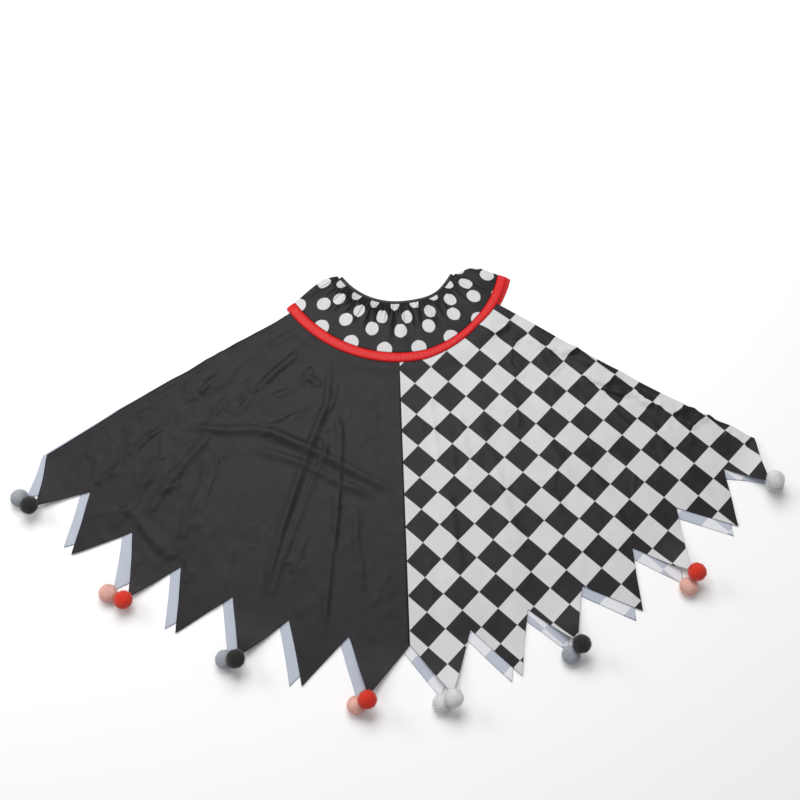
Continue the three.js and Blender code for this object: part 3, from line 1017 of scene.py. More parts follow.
@dataclass
class Wardrobe:
    """All finishes of the cape, each made once."""

    black: bpy.types.Material = field(
        default_factory=lambda: Satin("satin_black", INK, gloss=0.12, sheen=0.01).build()
    )
    black_wrong: bpy.types.Material = field(
        default_factory=lambda: Satin("satin_black_wrong_side", GHOST_BLUE, 0.65, 0.2, 0.05).build()
    )
    check: bpy.types.Material = field(
        default_factory=lambda: Check("satin_check", INK, gloss=0.12, sheen=0.01, second=WHITE_CHECK).build()
    )
    check_wrong: bpy.types.Material = field(
        default_factory=lambda: Check(
            "satin_check_wrong_side", GHOST_BLUE, 0.65, 0.2, 0.05, second=GHOST_PALE
        ).build()
    )
    dots: bpy.types.Material = field(
        default_factory=lambda: Dots(
            "satin_dotted", INK, gloss=0.12, sheen=0.01, threads=170, second=WHITE_DOT
        ).build()
    )
    dots_wrong: bpy.types.Material = field(
        default_factory=lambda: Dots(
            "satin_dotted_wrong_side", GHOST_BLUE, 0.65, 0.2, 0.05, threads=170, second=GHOST_PALE
        ).build()
    )
    ribbon: bpy.types.Material = field(
        default_factory=lambda: Satin(
            "satin_ribbon_red", linear(200, 22, 24), 0.42, 0.2, 0.03, threads=22, ripple=0.0003
        ).build()
    )
    elastic: bpy.types.Material = field(
        default_factory=lambda: Satin("casing_black", linear(34, 32, 35), 0.5, 0.3, 0.1, threads=22).build()
    )
    red_thread: bpy.types.Material = field(
        default_factory=lambda: Satin("thread_red", linear(186, 26, 28), 0.6, 0.3, 0.2).build()
    )
    black_thread: bpy.types.Material = field(
        default_factory=lambda: Satin("thread_black", linear(30, 29, 31), 0.6, 0.3, 0.2).build()
    )
    balls: dict[Ball, bpy.types.Material] = field(
        default_factory=lambda: {
            Ball.BLACK: Fibre("yarn_black", linear(46, 45, 47), linear(14, 14, 15)).build(),
            Ball.RED: Fibre("yarn_red", linear(238, 62, 34), linear(170, 24, 12)).build(),
            Ball.WHITE: Fibre("yarn_white", linear(236, 236, 234), linear(176, 177, 178)).build(),
            Ball.GREY: Fibre("yarn_grey", linear(182, 186, 192), linear(120, 124, 132)).build(),
            Ball.PINK: Fibre("yarn_pink", linear(242, 200, 187), linear(196, 140, 126)).build(),
        }
    )


# ---------------------------------------------------------------- how the layers lie
@dataclass(frozen=True)
class Stack:
    """Heights of the layers where they lie on each other.

    Attributes:
        neck: The neck's ring.
        collar_step: The back panels lie this high on the back collar.
        step_from: Neck radius at which they start to come down.
        step_to: Neck radius at which they are on the floor.
        ease_gap: Room that the front layer has to sink into its own hollows.
    """

    neck: NeckRing
    collar_step: float = 2.3
    step_from: float = 277.0
    step_to: float = 312.0
    ease_gap: float = 0.5

    def back_low(self, spots: np.ndarray) -> np.ndarray:
        """Underside of the back panels without their creases."""
        radius = self.neck.radius_of(spots)
        return self.collar_step * (1.0 - ease(share(radius, self.step_from, self.step_to)))

    def back_creases(self, side: Side, spots: np.ndarray) -> np.ndarray:
        """Height of the back layer's creases, which the front layer lies over."""
        height = np.zeros(len(spots))
        for crease in BACK_CREASES[side]:
            crease.press(spots, height, np.zeros((len(spots), 2)))
        fade = ease(share(self.neck.radius_of(spots), self.step_to, self.step_to + 50))
        return np.maximum(0.0, height) * fade


# ---------------------------------------------------------------- panels
class PrintShift(NamedTuple):
    """A place where the check lies a little off its even layout, and by how much."""

    x: float
    y: float
    dx: float
    dy: float


class EdgeBump(NamedTuple):
    """A small bulge of a side fold's outline: where, how far out, over what length."""

    x: float
    out: float
    spread: float


@dataclass
class Panel:
    """One quarter of the cape: a half of the front or of the back.

    Attributes:
        layer: Front or back.
        side: Left (black) or right (check).
        neck: The neck's ring.
        hem: The hem's shape.
        stack: How the layers lie.
        flat: Width and length of the cloth that it is cut from, in metres; not used.
        per_edge: Columns to each straight edge of the hem.
        hidden_rows: Rows under the collar.
        open_rows: Rows from the collar to the hem.
        stride: How much coarser the underside's grid is.
    """

    layer: Layer
    side: Side
    neck: NeckRing
    hem: Hem
    stack: Stack
    flat: tuple[float, float] = (0.74, 0.87)
    per_edge: int = 20
    hidden_rows: int = 16
    open_rows: int = 268
    stride: int = 4

    HALF_ANGLE = 52.0  # where a side fold meets the casing
    HIDDEN_RADIUS = 248.0
    LIFT_START = 745.0
    FOLD_BOW = 6.0
    BOW_COLUMNS = 34
    CELL_A = (34.19, -33.02)  # one step of the check along its first direction
    CELL_B = (33.61, 34.49)
    CELL_START = (302.44, -437.88)
    SHIFT_SPREAD = 72.0
    SHIFTS = (
        PrintShift(60, -60, 4.5, 5.3),
        PrintShift(180, -60, -3.0, -10.0),
        PrintShift(420, -180, -3.0, -7.0),
        PrintShift(660, -300, 4.0, -5.0),
        PrintShift(60, -540, 0.0, 3.0),
    )
    BACK_PRINT_SHIFT = (17.0, 9.0)
    BUMPS = {
        Side.LEFT: (EdgeBump(-560, 1.2, 24), EdgeBump(-430, -1.4, 22), EdgeBump(-330, 1.0, 16)),
        Side.RIGHT: (
            EdgeBump(369, 1.5, 12),
            EdgeBump(452, 1.2, 15),
            EdgeBump(588, 3.4, 7),
            EdgeBump(617, 4.2, 8),
            EdgeBump(657, 3.6, 20),
        ),
    }

    @property
    def name(self) -> str:
        """The part's name for this piece."""
        return f"{self.layer.value}_{self.side.value}"

    def _hem_line(self) -> tuple[np.ndarray, np.ndarray, np.ndarray]:
        """Fine spots along the hem, with the lift and the tip radius of the point that each belongs to."""
        corners, lifts = self.hem.corners(self.layer, self.side)
        rng = np.random.default_rng(31 if self.side is Side.LEFT else 37)
        spots, lift, tip = [], [], []
        for i, (a, b) in enumerate(zip(corners, corners[1:])):
            point = i + 1 if i % 2 == 0 else i
            steps = np.arange(self.per_edge + (i == len(corners) - 2)) / self.per_edge
            run = b - a
            across = np.array([-run[1], run[0]]) / np.hypot(*run)
            bow = rng.uniform(-1.3, 1.3) * np.sin(np.pi * steps)
            bow += rng.uniform(-0.4, 0.4) * np.sin(3 * np.pi * steps)
            spots.append(a + steps[:, None] * run + bow[:, None] * across)
            lift.append(np.full(len(steps), lifts[point]))
            tip.append(np.full(len(steps), np.hypot(*corners[point])))
        return np.vstack(spots), np.concatenate(lift), np.concatenate(tip)

    def plan(self) -> tuple[np.ndarray, np.ndarray, np.ndarray]:
        """The panel's grid seen from above.

        Returns:
            Spots by row and column, and for each column the lift and the radius of its hem point.
        """
        ends, lift, tip = self._hem_line()
        count = len(ends)
        way = np.arange(count) / (count - 1)
        turned = self.HALF_ANGLE * (way - 1.0 if self.side is Side.LEFT else way)
        starts = self.neck.spot(turned, self.neck.cloth_start(turned))
        knee = self.neck.crossing(starts, ends, self.HIDDEN_RADIUS)
        foot = self.neck.crossing(starts, ends, self.stack.step_to)
        hidden = np.linspace(0.0, 1.0, self.hidden_rows + 1)[:-1, None] * knee
        shown = knee + np.linspace(0.0, 1.0, self.open_rows + 1)[:, None] * (1.0 - knee)
        rows = np.vstack([hidden, shown])
        grid = starts + rows[..., None] * (ends - starts)
        fold = 0 if self.side is Side.LEFT else count - 1
        from_fold = np.abs(np.arange(count) - fold) / self.BOW_COLUMNS
        weight = np.clip(1.0 - from_fold, 0.0, 1.0) ** 2
        run = ends[fold] - starts[fold]
        outward = np.array([-run[1], run[0]]) / np.hypot(*run)
        outward *= np.sign(outward[1])
        sense = 1.0 if self.side is Side.LEFT else -1.0
        bow = sense * self.FOLD_BOW * np.sin(np.pi * share(rows[:, fold], foot[fold], 1.0))
        beyond = ease(share(rows[:, fold], foot[fold], foot[fold] + 0.08))
        if self.layer is Layer.BACK:
            bow = bow - 2.0
        for bump in self.BUMPS[self.side]:
            bow = bow + beyond * bump.out * np.exp(-(((grid[:, fold, 0] - bump.x) / bump.spread) ** 2))
        grid = grid + (bow[:, None] * weight)[..., None] * outward
        seam = count - 1 if self.side is Side.LEFT else 0
        grid[:, seam, 0] += LAYER_GAP / 2 * (-1.0 if self.side is Side.LEFT else 1.0)
        return grid, lift, tip

    def _front_height(
        self, grid: np.ndarray, lift: np.ndarray, tip: np.ndarray
    ) -> tuple[np.ndarray, np.ndarray]:
        """Underside of a front panel, and the pull on its print."""
        spots = grid.reshape(-1, 2)
        pressed = np.zeros(len(spots))
        pull = np.zeros((len(spots), 2))
        table = BLACK_CREASES if self.side is Side.LEFT else CHECK_CREASES
        for crease in [*table, *crumples(FRONT_ZONES[self.side], 5)]:
            crease.press(spots, pressed, pull)
        pressed = np.where(pressed > 0, 5.4 * np.tanh(pressed / 5.4), -0.45 * np.tanh(-pressed / 0.45))
        pressed += Swell(1.7, 11, 7, 90.0, 260.0).at(spots) + Swell(0.5, 12, 9, 28.0, 60.0).at(spots)
        angle = self.neck.angle_of(spots)
        radius = self.neck.radius_of(spots)
        edge = Collar.table_at(angle, "front")
        pressed *= ease(share(radius, edge - 3.0, edge + 16.0))
        low = self.stack.back_low(spots) + self.stack.back_creases(self.side, spots)
        low += CLOTH + LAYER_GAP + self.stack.ease_gap + pressed
        low += self._edge_shape(grid).ravel()
        climb = share(np.hypot(grid[..., 0], grid[..., 1]), self.LIFT_START, tip) ** 3
        return low.reshape(grid.shape[:2]) + lift * climb, pull.reshape(grid.shape)

    def _edge_shape(self, grid: np.ndarray) -> np.ndarray:
        """Small shapes along a front panel's side fold and centre seam."""
        fold = grid[:, 0] if self.side is Side.LEFT else grid[:, -1]
        away = np.hypot(*np.moveaxis(grid - fold[:, None], -1, 0))
        open_cloth = ease(share(self.neck.radius_of(grid), 285.0, 330.0))
        roll = 1.3 * np.exp(-(((away - 10.0) / 7.5) ** 2)) - 0.5 * np.exp(-((away / 2.5) ** 2))
        groove = 0.55 * np.exp(-(((away - 8.6) / 1.6) ** 2))
        seam = np.abs(grid[..., 0])
        along = grid[..., 1]
        pucker = np.sin(2 * np.pi * (along / 17.0 + 0.6 * np.sin(along / 61.0))) * np.exp(-seam / 9.0)
        welt = 0.35 * np.exp(-(((seam - 4.5) / 3.0) ** 2)) - 0.35 * np.exp(-((seam / 2.0) ** 2))
        return open_cloth * (roll - groove + 0.3 * pucker + welt)

    def _cut(self, grid: np.ndarray, pull: np.ndarray) -> np.ndarray:
        """Where each spot was on the flat cloth, in cells of the check."""
        moved = grid + pull
        if self.layer is Layer.BACK:
            moved = moved + np.array(self.BACK_PRINT_SHIFT)
        for shift in self.SHIFTS:
            away = np.hypot(grid[..., 0] - shift.x, grid[..., 1] - shift.y) / self.SHIFT_SPREAD
            moved = moved - np.exp(-(away**2))[..., None] * np.array([shift.dx, shift.dy])
        steps = np.array([self.CELL_A, self.CELL_B]).T
        return (moved - np.array(self.CELL_START)) @ np.linalg.inv(steps).T

    def _lowest(self, low: np.ndarray) -> np.ndarray:
        """Heights of the coarse underside, kept below the fine upper side."""
        reach = self.stride // 2
        padded = np.pad(low, reach, mode="edge")
        rows, columns = low.shape
        windows = [
            padded[r : r + rows, c : c + columns] for r in range(2 * reach + 1) for c in range(2 * reach + 1)
        ]
        return np.minimum.reduce(windows)[:: self.stride, :: self.stride]

    def build(self, place: Place, wardrobe: Wardrobe) -> bpy.types.Object:
        """Makes the panel and hides the solid that it stands for."""
        grid, lift, tip = self.plan()
        pull = np.zeros_like(grid)
        if self.layer is Layer.FRONT:
            low, pull = self._front_height(grid, lift, tip)
        else:
            spots = grid.reshape(-1, 2)
            low = self.stack.back_low(spots) + self.stack.back_creases(self.side, spots)
            low = low.reshape(grid.shape[:2])
        coarse = grid[:: self.stride, :: self.stride]
        top = np.concatenate([grid, (low + CLOTH)[..., None]], -1)
        under = np.concatenate([coarse, self._lowest(low)[..., None]], -1)
        right = wardrobe.black if self.side is Side.LEFT else wardrobe.check
        wrong = wardrobe.black_wrong if self.side is Side.LEFT else wardrobe.check_wrong
        faces = (right, wrong) if self.layer is Layer.FRONT else (wrong, right)
        shell = Shell(top, under, self._cut(grid, pull), self.stride)
        piece = shell.build(f"{self.name}_cloth", place, faces)
        hang(piece, self.name)
        return piece


# ---------------------------------------------------------------- collar
class CollarReach(NamedTuple):
    """The collar's outline at an angle: how far its binding reaches in each layer, and its width."""

    angle: float
    front: float
    back: float
    binding: float


class CollarFold(NamedTuple):
    """The collar's shoulder folds at a radius: the angle of the left and of the right one."""

    radius: float
    left: float
    right: float


class PrintRow(NamedTuple):
    """A row of dots: its radius, its number, and how far its dots are turned."""

    radius: float
    row: float
    turn: float


@dataclass
class Collar:
    """The round collar's half in one layer, with its binding.

    Attributes:
        layer: Front or back.
        neck: The neck's ring.
        stack: How the layers lie; not used.
        flat: Width and length of the strip that it is gathered from, in metres; not used.
        columns: Columns round the neck.
        rows: Rows from the casing to the binding.
        pleats: Gathers that start at the casing.
    """

    layer: Layer
    neck: NeckRing
    stack: Stack
    flat: tuple[float, float] = (0.52, 0.112)
    columns: int = 480
    rows: int = 72
    pleats: int = 58

    REACH = (
        CollarReach(-60, 271, 266, 22),
        CollarReach(-40, 271, 266, 22),
        CollarReach(-20, 272, 266, 21),
        CollarReach(0, 274, 266, 21),
        CollarReach(12, 274, 266, 20),
        CollarReach(25, 266, 262, 17),
        CollarReach(40, 256, 258, 15),
        CollarReach(55, 254, 260, 20),
        CollarReach(70, 247, 254, 21),
    )
    FOLDS = (
        CollarFold(135, -58.4, 55.5),
        CollarFold(150, -60.2, 60.5),
        CollarFold(172, -62.0, 67.0),
        CollarFold(200, -60.8, 69.7),
        CollarFold(240, -58.8, 69.4),
        CollarFold(275, -57.8, 69.2),
    )
    DOT_ROWS = (
        PrintRow(144, 0, 0.0),
        PrintRow(175, 1, 0.0),
        PrintRow(205, 2, 3.6),
        PrintRow(246, 3, 3.6),
    )
    DOT_PITCH = 16.4  # degrees from dot to dot
    DOT_START = -18.7
    DOT_RADIUS = 14.6
    ROW_PITCH = 34.0
    CLOTH_END = 252.0  # neck radius at which the cloth meets the binding
    OUTER = 275.0
    ON_PANELS = 5.3
    AT_SHOULDER = 2.6
    PUFF = ((0.0, 1.6), (0.06, 3.2), (0.16, 4.3), (0.4, 3.6), (0.75, 1.9), (1.0, 0.4))

    @classmethod
    def table_at(cls, angle: np.ndarray, column: str) -> np.ndarray:
        """Reads the outline's table between its rows."""
        angles = [row.angle for row in cls.REACH]
        return np.interp(angle, angles, [getattr(row, column) for row in cls.REACH])

    def _fold_at(self, radius: np.ndarray, column: str) -> np.ndarray:
        """Angle of a shoulder fold at a radius."""
        radii = [row.radius for row in self.FOLDS]
        return np.interp(radius, radii, [getattr(row, column) for row in self.FOLDS])

    def _overhang(self, angle: np.ndarray, nominal: np.ndarray) -> np.ndarray:
        """How far a spot hangs past the panels' side folds, from 0 to 1 at the shoulder fold."""
        total = np.zeros_like(angle)
        for sign, corner, column in ((-1, Notch(-62.6, 803), "left"), (1, Notch(61.2, 797), "right")):
            turned = sign * Panel.HALF_ANGLE
            start = self.neck.spot(turned, self.neck.cloth_start(turned))
            end = polar(corner.at, corner.reach)
            ways = np.array([self.neck.crossing(start, end, max(float(r), 143.0)) for r in nominal[:, 0]])
            edge = self.neck.angle_of(start + ways[:, None] * (end - start))[:, None]
            fold = self._fold_at(nominal, column)
            total = np.maximum(total, np.clip((angle - edge) / (fold - edge), 0.0, 1.0))
        return total

    def low(self, angle: np.ndarray, nominal: np.ndarray) -> np.ndarray:
        """Height that the collar lies at, without its gathers."""
        if self.layer is Layer.BACK:
            return np.zeros_like(angle)
        return self.ON_PANELS + (self.AT_SHOULDER - self.ON_PANELS) * ease(self._overhang(angle, nominal))

    def _gathers(self, angle: np.ndarray, way: np.ndarray) -> tuple[np.ndarray, np.ndarray]:
        """Heights of the gathered cloth and the turn that the pleats give its print.

        Args:
            angle: Angle of each spot, by row and column.
            way: Share of the way from casing to binding, by row.

        Returns:
            Height above the collar's underside, and degrees to add to the print's angle.
        """
        rng = np.random.default_rng(23)
        spread = np.linspace(-57.0, 59.0, self.pleats)
        puff = np.interp(way, *zip(*self.PUFF))
        height = np.ones_like(angle)
        slip = np.zeros_like(angle)
        for i, at in enumerate(spread):
            strong = 0.55 + 0.45 * math.exp(-((at / 40.0) ** 4))
            long = i % 3 == 0
            reach = rng.uniform(0.5, 0.98) if long else rng.uniform(0.18, 0.45)
            centre = at + rng.uniform(-0.7, 0.7) + rng.uniform(-2.4, 2.4) * way
            width = (0.34 + (1.5 if long else 0.7) * way) * rng.uniform(0.85, 1.25)
            depth = strong * rng.uniform(0.7, 1.1) * ease((reach - way) / reach * 1.6)
            away = (angle - centre) / width
            lean = rng.uniform(-0.35, 0.35)
            away = away / (1.0 + lean * np.sign(away))
            height -= depth * np.exp(-(away**2))
            slip += depth * rng.uniform(0.35, 0.8) * np.tanh(away) * np.exp(-np.abs(angle - centre) / 6.0)
        height = np.clip(height, 0.02, 1.0)
        waves = 0.5 + 0.5 * np.sin(2 * np.pi * (angle / 13.0 + 0.35 * np.sin(angle / 9.0)))
        broad = 1.1 * waves * np.sin(np.pi * np.clip(way, 0, 1)) ** 0.8
        return puff * height + broad, slip

    def _cut(self, angle: np.ndarray, radius: np.ndarray, slip: np.ndarray) -> np.ndarray:
        """Where each spot was on the flat cloth, in pitches of its dots."""
        radii, numbers, turns = [], [], []
        for row in self.DOT_ROWS:
            reach = self.DOT_RADIUS / self.ROW_PITCH
            radii += [row.radius - self.DOT_RADIUS, row.radius + self.DOT_RADIUS]
            numbers += [row.row - reach, row.row + reach]
            turns += [row.turn, row.turn]
        turn = np.interp(radius, radii, turns)
        across = (angle + slip - self.DOT_START - turn) / self.DOT_PITCH
        outward = np.interp(radius, radii, numbers) / 2
        return np.stack([across, outward], -1)

    def _grid(self, nominal: np.ndarray) -> np.ndarray:
        """Angles by row and column between the shoulder folds."""
        left = self._fold_at(nominal, "left")
        right = self._fold_at(nominal, "right")
        return left + np.linspace(0.0, 1.0, self.columns + 1) * (right - left)

    def build(self, place: Place, wardrobe: Wardrobe) -> list[bpy.types.Object]:
        """Makes the collar's cloth, its binding and the binding's stitches.

        Args:
            place: Where the cape is.
            wardrobe: The finishes.

        Returns:
            The cloth first, and then the pieces that are sewn to it.
        """
        way = np.linspace(0.0, 1.0, self.rows + 1)[:, None]
        start = float(self.neck.cloth_start(0.0))
        nominal = start + way * (self.CLOTH_END - start)
        angle = self._grid(nominal)
        reach = self.table_at(angle, self.layer.value) - self.table_at(angle, "binding") - LAYER_GAP
        inner = self.neck.cloth_start(angle)
        radius = inner + way * (reach - inner)
        low = self.low(angle, nominal)
        if self.layer is Layer.FRONT:
            height, slip = self._gathers(angle, way)
        else:
            height, slip = np.full_like(angle, 0.35), np.zeros_like(angle)
        spots = self.neck.spot(angle, radius)
        top = np.concatenate([spots, (low + height + CLOTH)[..., None]], -1)
        under = np.concatenate([spots, (low + 0.8 * (height - 0.02))[..., None]], -1)
        if self.layer is Layer.BACK:
            under[..., 2] = 0.0
        right, wrong = wardrobe.dots, wardrobe.dots_wrong
        faces = (right, wrong) if self.layer is Layer.FRONT else (wrong, right)
        cloth = Shell(top, under, self._cut(angle, radius, slip)).build(
            f"collar_{self.layer.value}_cloth", place, faces
        )
        hang(cloth, f"collar_{self.layer.value}")
        return [cloth, *Binding(self).build(place, wardrobe)]


@dataclass
class Binding:
    """The satin ribbon that binds the collar's edge.

    Attributes:
        collar: The collar that it binds.
        columns: Columns along it.
        rows: Rows across it.
        depth: Its depth in each layer.
        pucker: How far it is drawn in by its stitching.
    """

    collar: Collar
    columns: int = 520
    rows: int = 14
    pucker: float = 0.28

    DEPTH = {Layer.FRONT: 3.0, Layer.BACK: 1.9}
    STITCH_AT = 0.13  # share of the width at which the stitches run

    def _plan(self) -> tuple[np.ndarray, np.ndarray, np.ndarray]:
        """Share across the width, angles and radii, by row and column."""
        collar = self.collar
        across = np.linspace(0.0, 1.0, self.rows + 1)[:, None]
        nominal = collar.CLOTH_END + across * (collar.OUTER - collar.CLOTH_END)
        left = collar._fold_at(nominal, "left")
        right = collar._fold_at(nominal, "right")
        angle = left + np.linspace(0.0, 1.0, self.columns + 1) * (right - left)
        reach = collar.table_at(angle, collar.layer.value)
        radius = reach - collar.table_at(angle, "binding") * (1.0 - across)
        return across, angle, radius

    def build(self, place: Place, wardrobe: Wardrobe) -> list[bpy.types.Object]:
        """Makes the ribbon and its stitches."""
        collar = self.collar
        across, angle, radius = self._plan()
        nominal = collar.CLOTH_END + across * (collar.OUTER - collar.CLOTH_END)
        low = collar.low(angle, nominal)
        depth = self.DEPTH[collar.layer]
        round_top = (1.0 - np.abs(2 * across - 1.0) ** 3.4) ** 0.6
        ripple = np.sin(angle * 4.1 + 1.6 * np.sin(angle * 0.9)) * np.sin(angle * 1.7 + 0.4)
        body = 0.45 + (depth - 0.45) * round_top
        groove = 0.55 * np.exp(-(((across - self.STITCH_AT) / 0.07) ** 2))
        top_height = low + body - groove + self.pucker * ripple * round_top
        wobble = 0.35 * ripple * (across - 0.3)
        spots = collar.neck.spot(angle, radius + wobble)
        top = np.concatenate([spots, top_height[..., None]], -1)
        under = np.concatenate([spots, low[..., None]], -1)
        cut = np.stack([angle * 0.45, np.broadcast_to(across * 2.0, angle.shape)], -1)
        name = f"binding_{collar.layer.value}"
        ribbon = Shell(top, under, cut).build(f"{name}_ribbon", place, (wardrobe.ribbon,))
        hang(ribbon, name)
        row = max(1, round(self.STITCH_AT * self.rows))
        line = top[row] + np.array([0.0, 0.0, 0.05])
        stitches = StitchRow().build(f"{name}_stitches", place, line, wardrobe.red_thread)
        hang(stitches)
        return [ribbon, stitches]


@dataclass
class Casing:
    """The elastic casing round the neck in one layer.

    Attributes:
        layer: Front or back.
        neck: The neck's ring.
        depth: How thick it is.
        columns: Columns along it.
        rows: Rows across it.
        rib: Depth of its small gathers.
    """

    layer: Layer
    neck: NeckRing
    depth: float = 3.2
    columns: int = 620
    rows: int = 12
    rib: float = 0.4

    HALF_ANGLE = 56.5

    def build(self, place: Place, wardrobe: Wardrobe) -> bpy.types.Object:
        """Makes the casing."""
        across = np.linspace(0.0, 1.0, self.rows + 1)[:, None]
        turned = np.linspace(-self.HALF_ANGLE, self.HALF_ANGLE, self.columns + 1)
        angle = np.broadcast_to(turned, (self.rows + 1, self.columns + 1))
        radius = self.neck.edge(angle) + self.neck.casing_width * across
        low = 0.0 if self.layer is Layer.BACK else self.depth + LAYER_GAP
        round_top = (1.0 - np.abs(2 * across - 1.0) ** 2.6) ** 0.55
        ribs = 0.5 + 0.5 * np.sin(angle * 5.6 + 2.2 * np.sin(angle * 0.7) + 0.8 * across)
        body = 0.9 + (self.depth - 0.9) * round_top - self.rib * ribs * (0.4 + 0.6 * across)
        spots = self.neck.spot(angle, radius)
        top = np.concatenate([spots, (low + body)[..., None]], -1)
        under = np.concatenate([spots, np.full_like(angle, low)[..., None]], -1)
        cut = np.stack([angle * 0.25, np.broadcast_to(across, angle.shape)], -1)
        name = f"neck_casing_{self.layer.value}"
        piece = Shell(top, under, cut).build(f"{name}_band", place, (wardrobe.elastic,))
        hang(piece, name)
        return piece


# ---------------------------------------------------------------- pompons
@dataclass
class Pompon:
    """A ball of short cut yarn.

    Attributes:
        node: The part's name for it.
        colour: Its colour.
        strands: How many yarn ends stand out of it.
        core_rows: Rows of the dense middle.
        core_columns: Columns of the dense middle.
        seed: Start of the random draws.
    """

    node: str
    colour: Ball
    seed: int
    strands: int = 1500
    core_rows: int = 18
    core_columns: int = 32

    CORE = 0.9  # share of the radius that the dense middle fills
    STRAND_WIDTH = 0.035
    FILL = 0.9
    REST = 0.0004  # lowest that its yarn reaches, in metres

    def _core(self, rng: np.random.Generator) -> tuple[np.ndarray, list[list[int]]]:
        """The dense middle as a lumpy ball of radius 1 times CORE."""
        down = np.linspace(0.0, np.pi, self.core_rows + 1)[1:-1, None]
        round_ = np.linspace(0.0, 2 * np.pi, self.core_columns, endpoint=False)
        level = np.cos(down) * np.ones_like(round_)
        ring = np.stack([np.sin(down) * np.cos(round_), np.sin(down) * np.sin(round_), level], -1)
        ring = ring.reshape(-1, 3)
        spots = np.vstack([[0, 0, 1.0], ring, [0, 0, -1.0]])
        lumps = rng.normal(size=(14, 3))
        lumps /= np.linalg.norm(lumps, axis=1)[:, None]
        swell = np.exp(6.0 * (spots @ lumps.T - 1.0)).sum(1)
        reach = self.CORE * (0.95 + 0.05 * swell / swell.mean()) * rng.uniform(0.97, 1.02, len(spots))
        spots = spots * reach[:, None]
        faces = []
        rings, columns = self.core_rows - 1, self.core_columns
        for c in range(columns):
            following = (c + 1) % columns
            faces.append([0, 1 + c, 1 + following])
            for r in range(rings - 1):
                a, b = 1 + r * columns, 1 + (r + 1) * columns
                faces.append([a + c, b + c, b + following, a + following])
            last = 1 + (rings - 1) * columns
            faces.append([len(spots) - 1, last + following, last + c])
        return spots, faces

    def _strands(self, rng: np.random.Generator, first: int) -> tuple[np.ndarray, list[list[int]]]:
        """Closed slender spikes that stand out of the middle, evenly spread and a little tousled."""
        index = np.arange(self.strands) + 0.5
        z = 1.0 - 2.0 * index / self.strands
        turn = index * np.pi * (3.0 - math.sqrt(5.0))
        out = np.stack([np.sqrt(1 - z * z) * np.cos(turn), np.sqrt(1 - z * z) * np.sin(turn), z], -1)
        out += rng.normal(scale=0.05, size=out.shape)
        out /= np.linalg.norm(out, axis=1)[:, None]
        side = np.cross(out, rng.normal(size=out.shape))
        side /= np.linalg.norm(side, axis=1)[:, None]
        other = np.cross(out, side)
        root = out * 0.72
        tip = out * rng.uniform(0.955, 1.015, len(out))[:, None] + rng.normal(scale=0.035, size=out.shape)
        width = self.STRAND_WIDTH * rng.uniform(0.7, 1.2, len(out))[:, None]
        feet = [root + width * (math.cos(a) * side + math.sin(a) * other) for a in (0.0, 2.1, 4.2)]
        spots = np.stack([*feet, tip], 1).reshape(-1, 3)
        faces = []
        for i in range(self.strands):
            a, b, c, d = (first + 4 * i + k for k in range(4))
            faces += [[a, c, b], [a, b, d], [b, c, d], [c, a, d]]
        return spots, faces

    def build(self, wardrobe: Wardrobe) -> bpy.types.Object:
        """Makes the ball inside its solid's box and hides that solid."""
        rng = np.random.default_rng(self.seed)
        core, core_faces = self._core(rng)
        strands, strand_faces = self._strands(rng, len(core))
        low, high = (np.array(corner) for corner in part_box(self.node))
        spots = np.vstack([core, strands]) * (high - low) / 2 + (high + low) / 2
        spots[:, 2] = np.maximum(spots[:, 2], self.REST)
        mesh = bpy.data.meshes.new(self.node)
        mesh.from_pydata(spots.tolist(), [], core_faces + strand_faces)
        smooth = np.zeros(len(mesh.polygons), bool)
        smooth[: len(core_faces)] = True
        mesh.polygons.foreach_set("use_smooth", smooth)
        mesh.materials.append(wardrobe.balls[self.colour])
        piece = add_object(f"{self.node}_yarn", mesh)
        hang(piece, self.node)
        return piece


@dataclass
class PomponRow:
    """All pompons of one layer, from left to right.

    Attributes:
        layer: Front or back.
    """

    layer: Layer

    COLOURS = {
        Layer.FRONT: (
            Ball.BLACK, Ball.RED, Ball.BLACK, Ball.RED, Ball.WHITE, Ball.BLACK, Ball.RED, Ball.WHITE,
        ),
        Layer.BACK: (
            Ball.GREY, Ball.PINK, Ball.GREY, Ball.PINK, Ball.WHITE, Ball.GREY, Ball.PINK, Ball.WHITE,
        ),
    }

    def build(self, wardrobe: Wardrobe) -> list[bpy.types.Object]:
        """Makes the pompons."""
        first = 100 if self.layer is Layer.FRONT else 200
        return [
            Pompon(f"pompon_{self.layer.value}_{i + 1}", colour, first + i).build(wardrobe)
            for i, colour in enumerate(self.COLOURS[self.layer])
        ]


# ---------------------------------------------------------------- the whole cape
@dataclass
class Cape:
    """The clown cape, laid flat on its back.

    Attributes:
        place: Where it lies.
        neck: The neck's ring.
        hem: The hem's shape.
    """

    place: Place
    neck: NeckRing = field(default_factory=NeckRing)
    hem: Hem = field(default_factory=Hem)

    def build(self, wardrobe: Wardrobe) -> None:
        """Makes every piece, from the floor up."""
        stack = Stack(self.neck)
        for layer in (Layer.BACK, Layer.FRONT):
            fine = layer is Layer.FRONT
            for side in Side:
                panel = Panel(layer, side, self.neck, self.hem, stack)
                if not fine:
                    panel.per_edge, panel.hidden_rows, panel.open_rows, panel.stride = 8, 8, 120, 2
                panel.build(self.place, wardrobe)
            casing = Casing(layer, self.neck).build(self.place, wardrobe)
            collar = Collar(layer, self.neck, stack)
            if not fine:
                collar.columns, collar.rows = 160, 24
            cloth, *sewn = collar.build(self.place, wardrobe)
            PomponRow(layer).build(wardrobe)


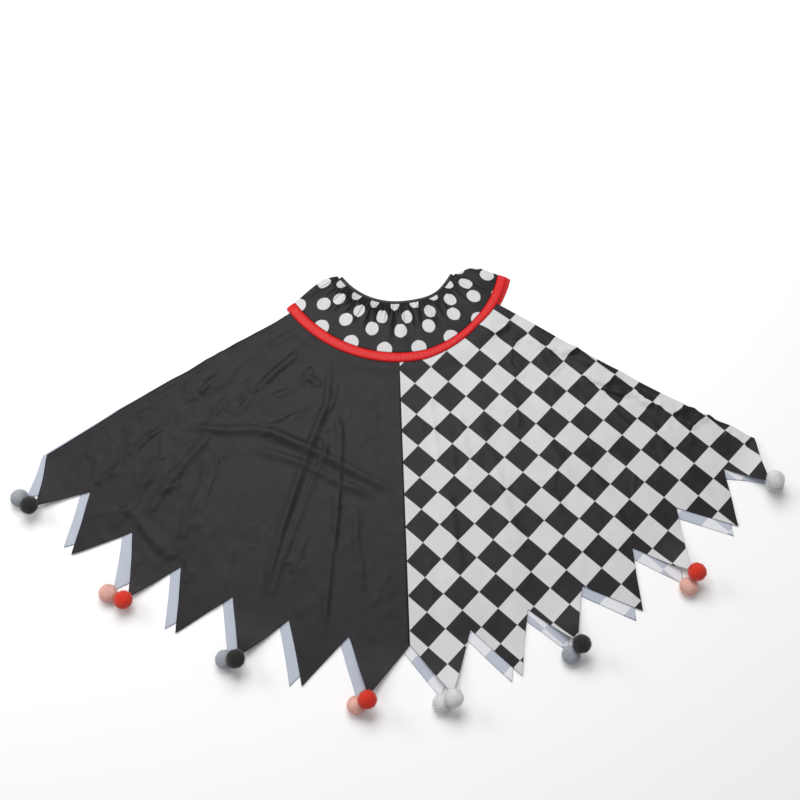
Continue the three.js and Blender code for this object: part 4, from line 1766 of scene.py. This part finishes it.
# ---------------------------------------------------------------- the room
@dataclass
class Studio:
    """Pale floor, soft light and the camera.

    Attributes:
        place: Where the cape is.
        lens: Focal length in millimetres on a 36 mm sensor.
        eye: The camera's place about the hem's centre, in millimetres.
        aim: What it looks at.
    """

    place: Place
    lens: float = 63.0
    eye: tuple[float, float, float] = (-39.1, -1376.1, 2594.3)
    aim: tuple[float, float, float] = (-1.8, -275.4, 0.0)

    SENSOR = 36.0
    FLOOR_HALF = 9.0
    FLOOR_LEVEL = -0.0004
    SKY = 0.36

    def camera(self) -> None:
        """Sets the camera."""
        data = bpy.data.cameras.new("camera")
        data.lens = self.lens
        data.sensor_width = self.SENSOR
        data.clip_end = 50.0
        camera = bpy.data.objects.new("camera", data)
        bpy.context.scene.collection.objects.link(camera)
        eye = Vector(self.place.metres(np.array(self.eye)))
        aim = Vector(self.place.metres(np.array(self.aim)))
        camera.location = eye
        camera.rotation_euler = (aim - eye).to_track_quat("-Z", "Y").to_euler()
        bpy.context.scene.camera = camera

    def floor(self) -> None:
        """Lays a large pale floor."""
        half, level = self.FLOOR_HALF, self.FLOOR_LEVEL
        mesh = bpy.data.meshes.new("floor")
        corners = [(-half, -half, level), (half, -half, level), (half, half, level), (-half, half, level)]
        mesh.from_pydata(corners, [], [(0, 1, 2, 3)])
        mesh.materials.append(Floor(linear(246, 246, 246)).build())
        add_object("floor", mesh)

    def lamp(self, name: str, spot: tuple[float, float, float], size: float, power: float) -> None:
        """Hangs one soft square lamp that shines on the cape.

        Args:
            name: Its name.
            spot: Its place in metres in the part's frame.
            size: Its side in metres.
            power: Its power in watts.
        """
        data = bpy.data.lights.new(name, "AREA")
        data.shape = "SQUARE"
        data.size = size
        data.energy = power
        lamp = bpy.data.objects.new(name, data)
        bpy.context.scene.collection.objects.link(lamp)
        lamp.location = spot
        lamp.rotation_euler = (-Vector(spot)).to_track_quat("-Z", "Y").to_euler()

    def build(self) -> None:
        """Sets up the room."""
        scene = bpy.context.scene
        world = bpy.data.worlds.new("room")
        world.use_nodes = True
        background = next(n for n in world.node_tree.nodes if n.type == "BACKGROUND")
        background.inputs["Color"].default_value = (self.SKY, self.SKY, self.SKY * 1.01, 1.0)
        scene.world = world
        scene.view_settings.view_transform = "Standard"
        self.camera()
        self.floor()
        self.lamp("high_softbox", (-0.3, 1.5, 3.0), 2.4, 96.0)
        self.lamp("side_softbox", (-2.6, 1.2, 1.9), 1.4, 30.0)


def main() -> None:
    """Builds the room and the cape."""
    logging.basicConfig(level=logging.INFO, format="%(name)s: %(message)s")
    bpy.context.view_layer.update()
    place = Place.from_frame()
    Studio(place).build()
    Cape(place).build(Wardrobe())


if __name__ == "__main__":
    main()
